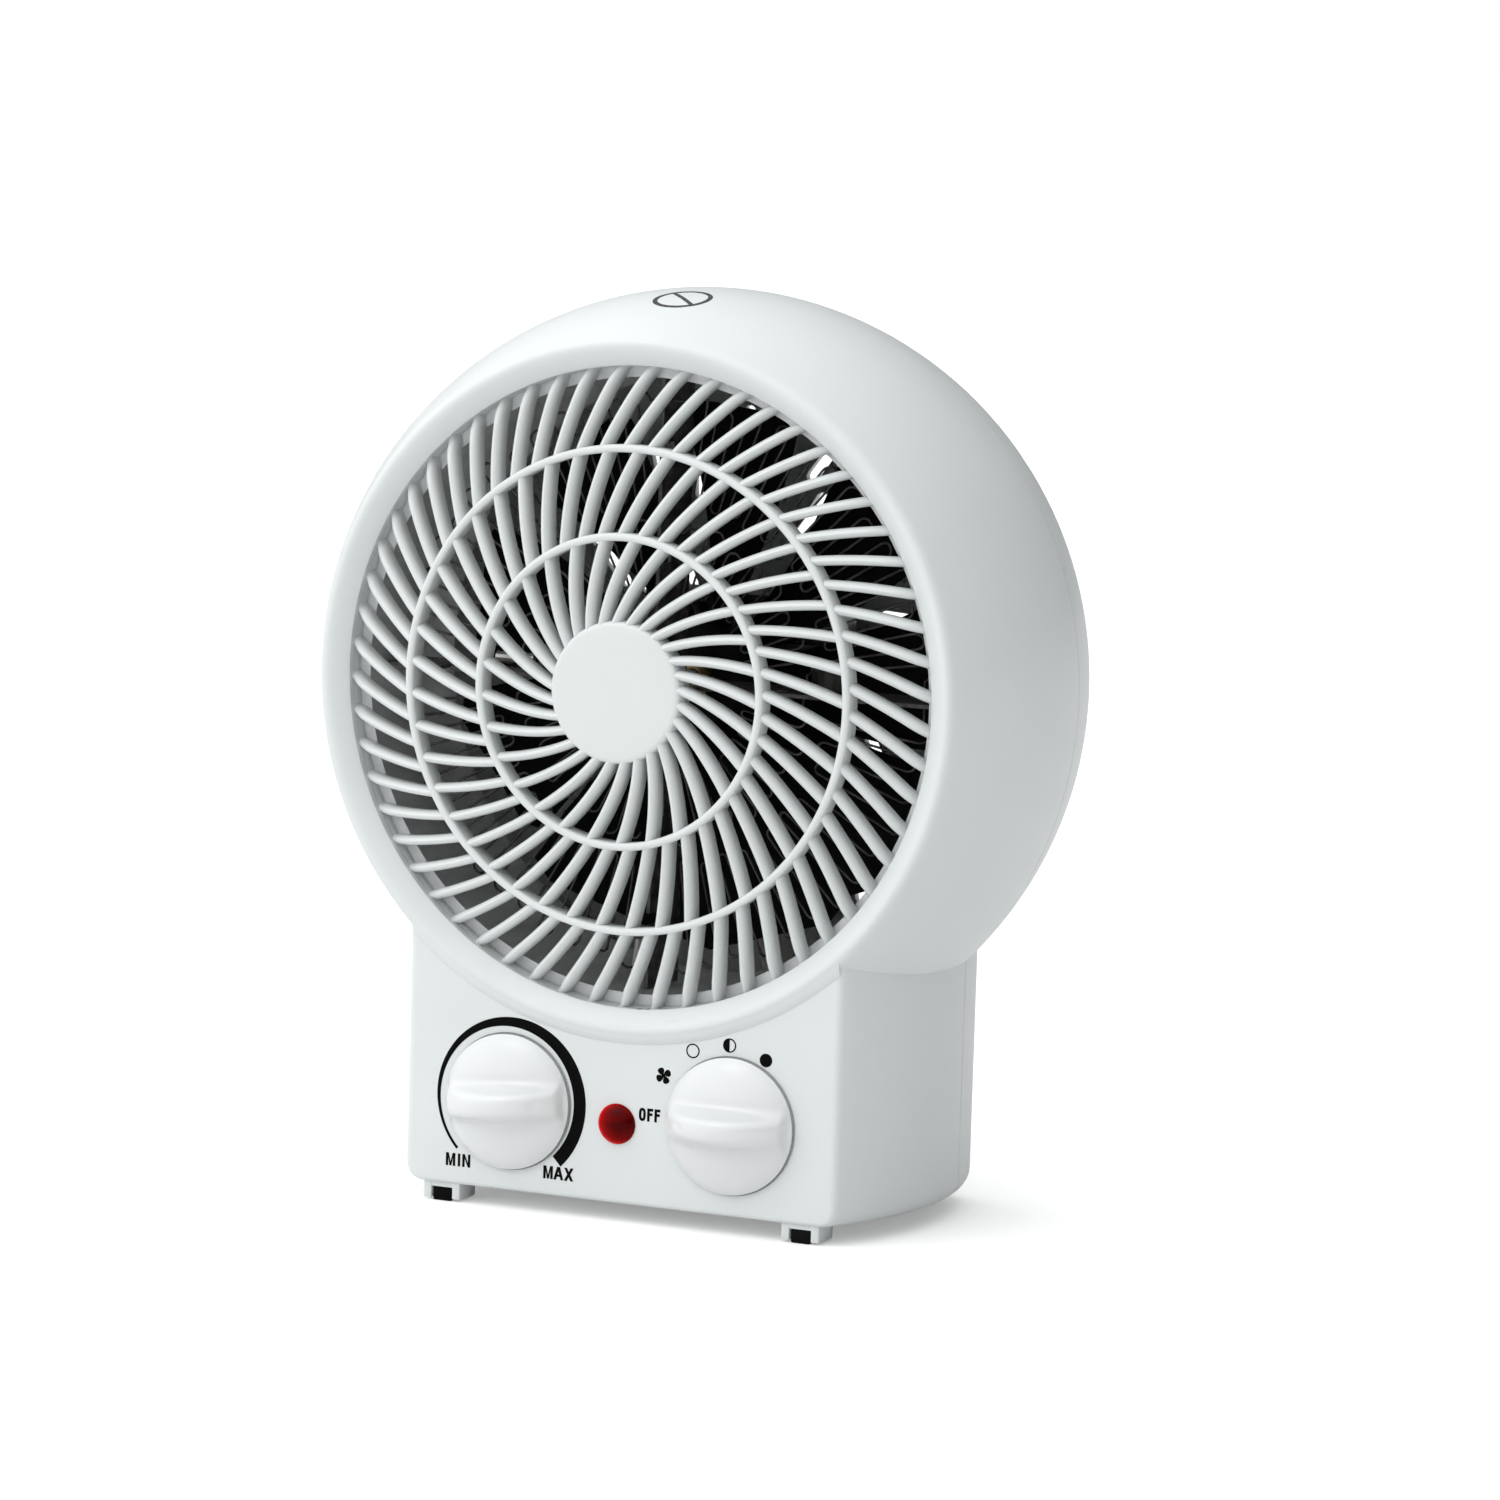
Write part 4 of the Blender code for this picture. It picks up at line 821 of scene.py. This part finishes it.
def sweep_mark():
    """The arc round the thermostat's knob, which widens from its lowest setting to its highest."""
    x, z = DIALS["thermostat"]
    radius, lift = 20.5, 0.35
    front, back = INK_YS
    loops = []
    for a in spread(224, -46, 110):
        half = 0.36 + 1.37 * ease((222 - a) / 225)
        c, s = math.cos(math.radians(a)), math.sin(math.radians(a))
        outer, inner = [(x + r * c, z + lift + r * s) for r in (radius + half, radius - half)]
        corners = ((outer, front), (inner, front), (inner, back), (outer, back))
        loops.append([(px, y, pz) for (px, pz), y in corners])
    piece("dial_sweep", loft(loops), INK)


def fan_mark(x, z):
    """A hub and four rounded blades."""
    marks = []
    for k in range(4):
        turn = math.radians(90 * k + 20)
        c, s = math.cos(turn), math.sin(turn)
        blade = []
        for a in turn_angles(20):
            u = 1.22 + 0.98 * math.cos(a)
            v = 0.28 + 0.88 * math.sin(a) * (1 + 0.35 * math.cos(a))
            blade.append((x + u * c - v * s, z + u * s + v * c))
        marks.append(blade)
    return [*marks, disc(x, z, 0.5)]


def dial_print():
    """The marks round the knobs: the sweep, the cold fan, and an empty, a half and a full circle."""
    sweep_mark()
    z = DIALS["thermostat"][1]
    printed("mark_fan", fan_mark(12.4, z + 11.1))
    low, half, full = (20.5, z + 18.35), (30.8, z + 20.75), (41.1, z + 17.9)
    printed("mark_empty", [(disc(*low, 1.9), disc(*low, 1.54))])
    printed("mark_half", [(disc(*half, 1.85), disc(*half, 1.5)), disc(*half, 1.7, 90, 270)])
    printed("mark_full", [disc(*full, 1.75)])


LETTER_HEIGHT, LETTER_STROKE = 3.4, 0.7


def squarish(share):
    """Pushes a sine or cosine outwards, which squares a round letter a little."""
    return math.copysign(abs(share) ** 0.75, share)


def letter(sign, w):
    """A plain sans capital, w wide, as outlines and (outer, inner) pairs of them."""
    h, s = LETTER_HEIGHT, LETTER_STROKE
    mid, bar = w / 2, h * 0.44
    if sign == "I":
        return [[(0, 0), (s, 0), (s, h), (0, h)]]
    if sign == "F":
        arm, reach = bar + s, w * 0.9
        stem = [(0, 0), (s, 0), (s, bar), (reach, bar), (reach, arm), (s, arm)]
        return [stem + [(s, h - s), (w, h - s), (w, h), (0, h)]]
    if sign == "N":
        rising = [(0, 0), (s, 0), (s, h * 0.68), (w - s, 0), (w, 0), (w, h)]
        return [rising + [(w - s, h), (w - s, h * 0.32), (s, h), (0, h)]]
    if sign == "M":
        shoulder, slope, point = h * 0.66, s * 1.15, s * 0.4
        legs = [(0, 0), (s, 0), (s, shoulder), (mid - point, 0.04), (mid + point, 0.04), (w - s, shoulder)]
        return [legs + [(w - s, 0), (w, 0), (w, h), (w - slope, h), (mid, h * 0.3), (slope, h), (0, h)]]
    if sign == "A":
        leg, peak, low, high = s * 1.05, s * 0.6, h * 0.24, h * 0.24 + s * 0.85
        legs = [(0, 0), (leg, 0), (mid, h - s * 1.7), (w - leg, 0), (w, 0)]
        legs += [(mid + peak, h), (mid - peak, h)]
        return [legs, [(w * 0.27, low), (w * 0.73, low), (w * 0.68, high), (w * 0.32, high)]]
    if sign == "X":
        leg, waist = s * 1.2, s * 0.62
        lower = [(0, 0), (leg, 0), (mid, h / 2 - s), (w - leg, 0), (w, 0), (mid + waist, h / 2)]
        return [lower + [(w, h), (w - leg, h), (mid, h / 2 + s), (leg, h), (0, h), (mid - waist, h / 2)]]
    rings = []
    for shrink in (0, s):
        a, b = mid - shrink, h / 2 - shrink
        ring = [(squarish(math.cos(t)), squarish(math.sin(t))) for t in turn_angles(40)]
        rings.append([(mid + a * u, h / 2 + b * v) for u, v in ring])
    return [tuple(rings)]


def word(text, x, z, widths, gap):
    """A plain dial word in outlined capitals, set from its lower left corner."""
    outlines = []
    for sign, width in zip(text, widths):
        for shape in letter(sign, width):
            if isinstance(shape, tuple):
                outlines.append(tuple([(x + u, z + v) for u, v in ring] for ring in shape))
            else:
                outlines.append([(x + u, z + v) for u, v in shape])
        x += width + gap
    printed(f"word_{text.lower()}", outlines)


def words():
    """The ends of the thermostat's range, and the selector's off position."""
    z = DIALS["thermostat"][1]
    word("MIN", -49.8, z - 18.75, (2.75, 0.56, 2.35), 0.75)
    word("MAX", -21.3, z - 19.2, (2.75, 2.85, 2.7), 0.2)
    word("OFF", 5.7, z - 1.25, (1.95, 1.65, 1.65), 0.42)


def top_mark():
    """A plain ring with a bar across it, printed on top of the drum."""
    centre_y, lift, root = -17.0, 0.06, -0.3

    def on_drum(u, v, height):
        y = centre_y + v
        radius = barrel(y) + height
        return (radius * math.sin(u / radius), y, DRUM_Z + radius * math.cos(u / radius))

    outer, inner = disc(0, 0, 7.75, count=96), disc(0, 0, 6.55, count=96)
    levels = ((outer, lift), (inner, lift), (inner, root), (outer, root))
    ring = loft([[on_drum(*point, height) for point in edge] for edge, height in levels], ring=True)
    half, slant = 0.55, math.sqrt(0.5)
    loops = []
    for t in spread(-6.6, 6.6, 16):
        left = ((t - half) * slant, (-t - half) * slant)
        right = ((t + half) * slant, (half - t) * slant)
        corners = ((left, lift), (right, lift), (right, root), (left, root))
        loops.append([on_drum(*point, height) for point, height in corners])
    piece("top_ring_mark", gather([ring, loft(loops)]), PALE_INK)


# ------------------------------------------------------------------ airway, element and fan


def tube(points, radius, sides=8):
    """A round wire along a polyline, with mitred joints."""
    points = [Vector(p) for p in points]
    up = Vector((0, 1, 0))
    loops = []
    for i, here in enumerate(points):
        before = points[i - 1] if i else here
        after = points[i + 1] if i + 1 < len(points) else here
        along = (after - before).normalized()
        side = along.cross(up).normalized()
        top = side.cross(along)
        loops.append([here + radius * (side * math.cos(a) + top * math.sin(a)) for a in turn_angles(sides)])
    return loft(loops)


def hairpins(low, high, waves, y):
    """A wire laid in long round-ended loops around the airway, crossing each mica plate square to it.

    The loops' ends step in and out a little, and the wire sways front to back, as wound wire does.
    """
    points = []
    pitch = math.pi / 2 / (waves + 0.9)
    for quarter in range(4):
        start = -math.pi / 2 + quarter * math.pi / 2 + 0.95 * pitch
        for k in range(waves):
            angle = start + k * pitch
            out_r, in_r = high - 1.2 * (k % 3), low + 1.0 * (k % 2)
            out_bow, in_bow = pitch * out_r / 4, pitch * in_r / 4
            for a in spread(0, math.pi, 7):
                points.append((out_r - out_bow + out_bow * math.sin(a), angle - pitch / 4 * math.cos(a)))
            if k < waves - 1:
                back = angle + pitch / 2
                for a in spread(0, math.pi, 5):
                    points.append((in_r + in_bow - in_bow * math.sin(a), back - pitch / 4 * math.cos(a)))
    return [
        (r * math.cos(a), y + 0.9 * math.sin(i * 0.37), DRUM_Z + r * math.sin(a))
        for i, (r, a) in enumerate(points)
    ]


def airway():
    """The steel duct's ring and the two rings of resistance wire."""
    front, back = corner("air_duct", 0, 1), corner("air_duct", 1, 1)
    inner, flange = 79.6, 88
    profile = [(inner, front), (flange, front), (flange, front + 1.2), (81, front + 1.2), (81, back)]
    profile += [(80.3, back + 0.4), (inner, back), (inner, (front + back) / 2)]
    piece("duct_ring", revolve(profile, ROUND, loop=True), DUCT, nodes=["air_duct"])
    for name, low, high, waves in (("outer", 46.5, 75.5, 13), ("inner", 23.5, 42.5, 8)):
        node = f"heating_coil_{name}"
        wire = tube(hairpins(low, high, waves, middle(node, 1)), 0.34)
        piece(f"coil_{name}_wire", wire, WIRE, nodes=[node], sharp=60)


def fan_blade(index, count):
    """A cambered, twisted blade with a rounded tip."""
    root_radius, length, middle_y = 13.0, 57.6, 7.0
    tip_from, tip_share = 0.93, 0.07
    turn = 2 * math.pi * index / count
    aft = Vector((0, 1, 0))
    loops = []
    for share in spread(0.0, 1.0, 14):
        radius = root_radius + length * share
        pitch = math.radians(44 - 25 * share**0.9)
        chord = 0.87 * 2 * math.pi * radius / count / math.cos(pitch)
        chord *= math.sqrt(max(1 - max(share - tip_from, 0) ** 2 / tip_share**2 * 0.5, 0.05))
        sweep = 0.10 * share * share
        out = Vector((math.cos(turn + sweep), 0, math.sin(turn + sweep)))
        turnwise = Vector((-out.z, 0, out.x))
        lay = math.cos(pitch) * turnwise + math.sin(pitch) * aft
        rise = math.cos(pitch) * aft - math.sin(pitch) * turnwise
        centre = radius * out + Vector((0, middle_y, DRUM_Z))
        front_side, back_side = [], []
        for t in spread(-1, 1, 10):
            camber = 1.6 * (1 - t * t)
            thick = 0.15 + 0.6 * math.sqrt(max(1 - t * t, 0))
            point = centre + lay * (t * chord / 2)
            front_side.append(point + rise * (camber - thick))
            back_side.append(point + rise * (camber + thick))
        loops.append(front_side + back_side[::-1])
    return loft(loops)


def fan():
    """The moulded fan: blades on a hollow hub."""
    blades, bore, front, back = 9, 2.6, -3, 14.4
    nose, shoulder = (9, front), (15, 2)
    hub = [(bore, front), nose, *bend(nose, (14.8, -2.6), shoulder, 6), shoulder, (15, back), (13, back)]
    hub += [(13, 2.5), (6, 1.0), (6, back), (bore, back)]
    parts = [revolve(hub, 64, loop=True)] + [fan_blade(i, blades) for i in range(blades)]
    piece("fan_moulding", gather(parts), BLACK, "fan_rotor", ["impeller"], 40)


def cord_bush():
    """The rubber bush in the cable inlet: a rounded flange outside, a neck, and a lip inside."""
    node = "cable_gland"
    x, z = middle(node, 0), middle(node, 2)
    inside, outside = corner(node, 0, 1), corner(node, 1, 1)
    bore, neck, lip, flange = 3.5, 4.6, 6, 7.2
    face, rim = (5.6, outside), (flange, outside - 1.2)
    flange_y, lip_y = outside - 2.1, inside + 1.5
    section = [(bore, outside), face, *bend(face, (flange, outside), rim, 4), rim, (flange, flange_y)]
    section += [(neck, flange_y), (neck, lip_y), (lip, lip_y), (lip, inside), (bore, inside)]
    piece("cord_bush", revolve(section, 48, x, z, loop=True), RUBBER, nodes=[node])


# Inner pieces that keep their CAD shapes.
CAD_FINISHES = (
    (BRASS, "thermostat_spindle selector_spindle thermostat_bimetal impeller_clip"),
    (BRASS, "bearing_front bearing_rear"),
    (ZINC, "thermostat_nut selector_nut thermal_fuse motor_screw_left motor_screw_right"),
    (LAMINATION, "stator_core motor_rotor motor_shaft bearing_bracket_front bearing_bracket_rear"),
    (LAMINATION, "thermostat_body"),
    (PHENOLIC, "selector_body thermal_cutout cord_clamp_block cord_clamp_bar"),
    (PHENOLIC, "tilt_switch_body tilt_switch_plunger"),
    (WINDING, "stator_winding"),
    (CERAMIC, "terminal_block neon_lamp"),
    (MICA, "mica_plate_horizontal mica_plate_vertical"),
    (SLEEVE_WHITE, "lead_element lead_motor"),
    (SLEEVE_BROWN, "lead_supply lead_thermostat"),
)


def dress_cad_nodes():
    """Gives the inner pieces their finishes."""
    for finish, nodes in CAD_FINISHES:
        for node in nodes.split():
            for material_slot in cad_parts[node].material_slots:
                material_slot.material = finish


# ------------------------------------------------------------------ studio

# In metres and the frame's own axes.
FLOOR_REACH = 40.0
LIGHTS_AIM = Vector((0, 0, 0.12))
# The sky brightens in proportion to how far a direction leans this way, and never falls below SKY_LEAST.
SKY_TOWARDS = (-0.84, -0.72, 1.85)
SKY_LEAST = 0.1


def stage():
    """A pale matt floor that glows a little for the camera, so that it fades into the white beyond."""
    floor = bpy.data.meshes.new("floor")
    corners = [(-1, -1), (1, -1), (1, 1), (-1, 1)]
    floor.from_pydata([(x * FLOOR_REACH, y * FLOOR_REACH, 0) for x, y in corners], [], [(0, 1, 2, 3)])
    obj = bpy.data.objects.new("studio_floor", floor)
    bpy.context.scene.collection.objects.link(obj)
    look = Finish("floor_white", Roughness=0.9, Specular_IOR_Level=0.1)
    look.colour(look.noise(600, 2), [(0.0, (0.84, 0.84, 0.84)), (1.0, (0.87, 0.87, 0.87))])
    glow = look.node("ShaderNodeEmission")
    look.link(look.node("ShaderNodeLightPath").outputs["Is Camera Ray"], glow.inputs["Strength"])
    glow.inputs["Color"].default_value = (0.28, 0.28, 0.28, 1.0)
    both = look.node("ShaderNodeAddShader")
    look.link(look.shader.outputs["BSDF"], both.inputs[0])
    look.link(glow.outputs["Emission"], both.inputs[1])
    look.link(both.outputs["Shader"], look.tree.nodes["Material Output"].inputs["Surface"])
    floor.materials.append(look.material)


def area_light(name, azimuth, elevation, distance, size, power):
    """A rectangular light that faces the heater; azimuth counts from the front towards the right."""
    light = bpy.data.lights.new(name, "AREA")
    light.shape = "RECTANGLE"
    light.size, light.size_y = size
    light.energy = power
    obj = bpy.data.objects.new(name, light)
    a, e = math.radians(azimuth), math.radians(elevation)
    back = Vector((math.sin(a) * math.cos(e), -math.cos(a) * math.cos(e), math.sin(e)))
    obj.location = LIGHTS_AIM + back * distance
    obj.rotation_mode = "QUATERNION"
    obj.rotation_quaternion = back.to_track_quat("Z", "Y")
    bpy.context.scene.collection.objects.link(obj)


def studio():
    """A broad soft sky, brightest overhead in front and to the left, over a pale floor."""
    world = bpy.data.worlds.new("studio")
    bpy.context.scene.world = world
    world.use_nodes = True
    tree = world.node_tree
    light = tree.nodes["Background"]
    light.inputs["Color"].default_value = (0.985, 0.995, 1.0, 1.0)
    where = tree.nodes.new("ShaderNodeTexCoord")
    facing = tree.nodes.new("ShaderNodeVectorMath")
    facing.operation = "DOT_PRODUCT"
    facing.inputs[1].default_value = SKY_TOWARDS
    power = tree.nodes.new("ShaderNodeMath")
    power.operation = "MAXIMUM"
    power.inputs[1].default_value = SKY_LEAST
    tree.links.new(where.outputs["Generated"], facing.inputs[0])
    tree.links.new(facing.outputs["Value"], power.inputs[0])
    tree.links.new(power.outputs["Value"], light.inputs["Strength"])
    seen = tree.nodes.new("ShaderNodeBackground")
    seen.inputs["Color"].default_value = (1.0, 1.0, 1.0, 1.0)
    path = tree.nodes.new("ShaderNodeLightPath")
    mix = tree.nodes.new("ShaderNodeMixShader")
    tree.links.new(path.outputs["Is Camera Ray"], mix.inputs["Fac"])
    tree.links.new(light.outputs["Background"], mix.inputs[1])
    tree.links.new(seen.outputs["Background"], mix.inputs[2])
    tree.links.new(mix.outputs["Shader"], tree.nodes["World Output"].inputs["Surface"])
    area_light("key", -24, 48, 1.6, (0.7, 0.7), 2.0)
    bpy.context.scene.view_settings.view_transform = "Standard"


def camera():
    """The photographer's camera: in front, a little to the right and above, with a slight roll."""
    data = bpy.data.cameras.new("camera")
    data.lens = 150.4
    data.sensor_width = 36.0
    obj = bpy.data.objects.new("camera", data)
    bpy.context.scene.collection.objects.link(obj)
    bpy.context.scene.camera = obj
    distance, roll = 1.603, 1.775
    aim = Vector((0.0279, -0.0277, 0.1239))
    back = Vector((0.41503, -0.90209, 0.11824)).normalized()
    obj.location = aim + back * distance
    obj.rotation_mode = "QUATERNION"
    tilt = Quaternion((0, 0, 1), math.radians(roll))
    obj.rotation_quaternion = back.to_track_quat("Z", "Y") @ tilt


def main():
    studio()
    camera()
    stage()
    housings()
    housing_screws()
    grille()
    controls()
    dial_print()
    words()
    top_mark()
    airway()
    fan()
    cord_bush()
    dress_cad_nodes()
    bpy.data.collections.remove(SCRATCH)


main()
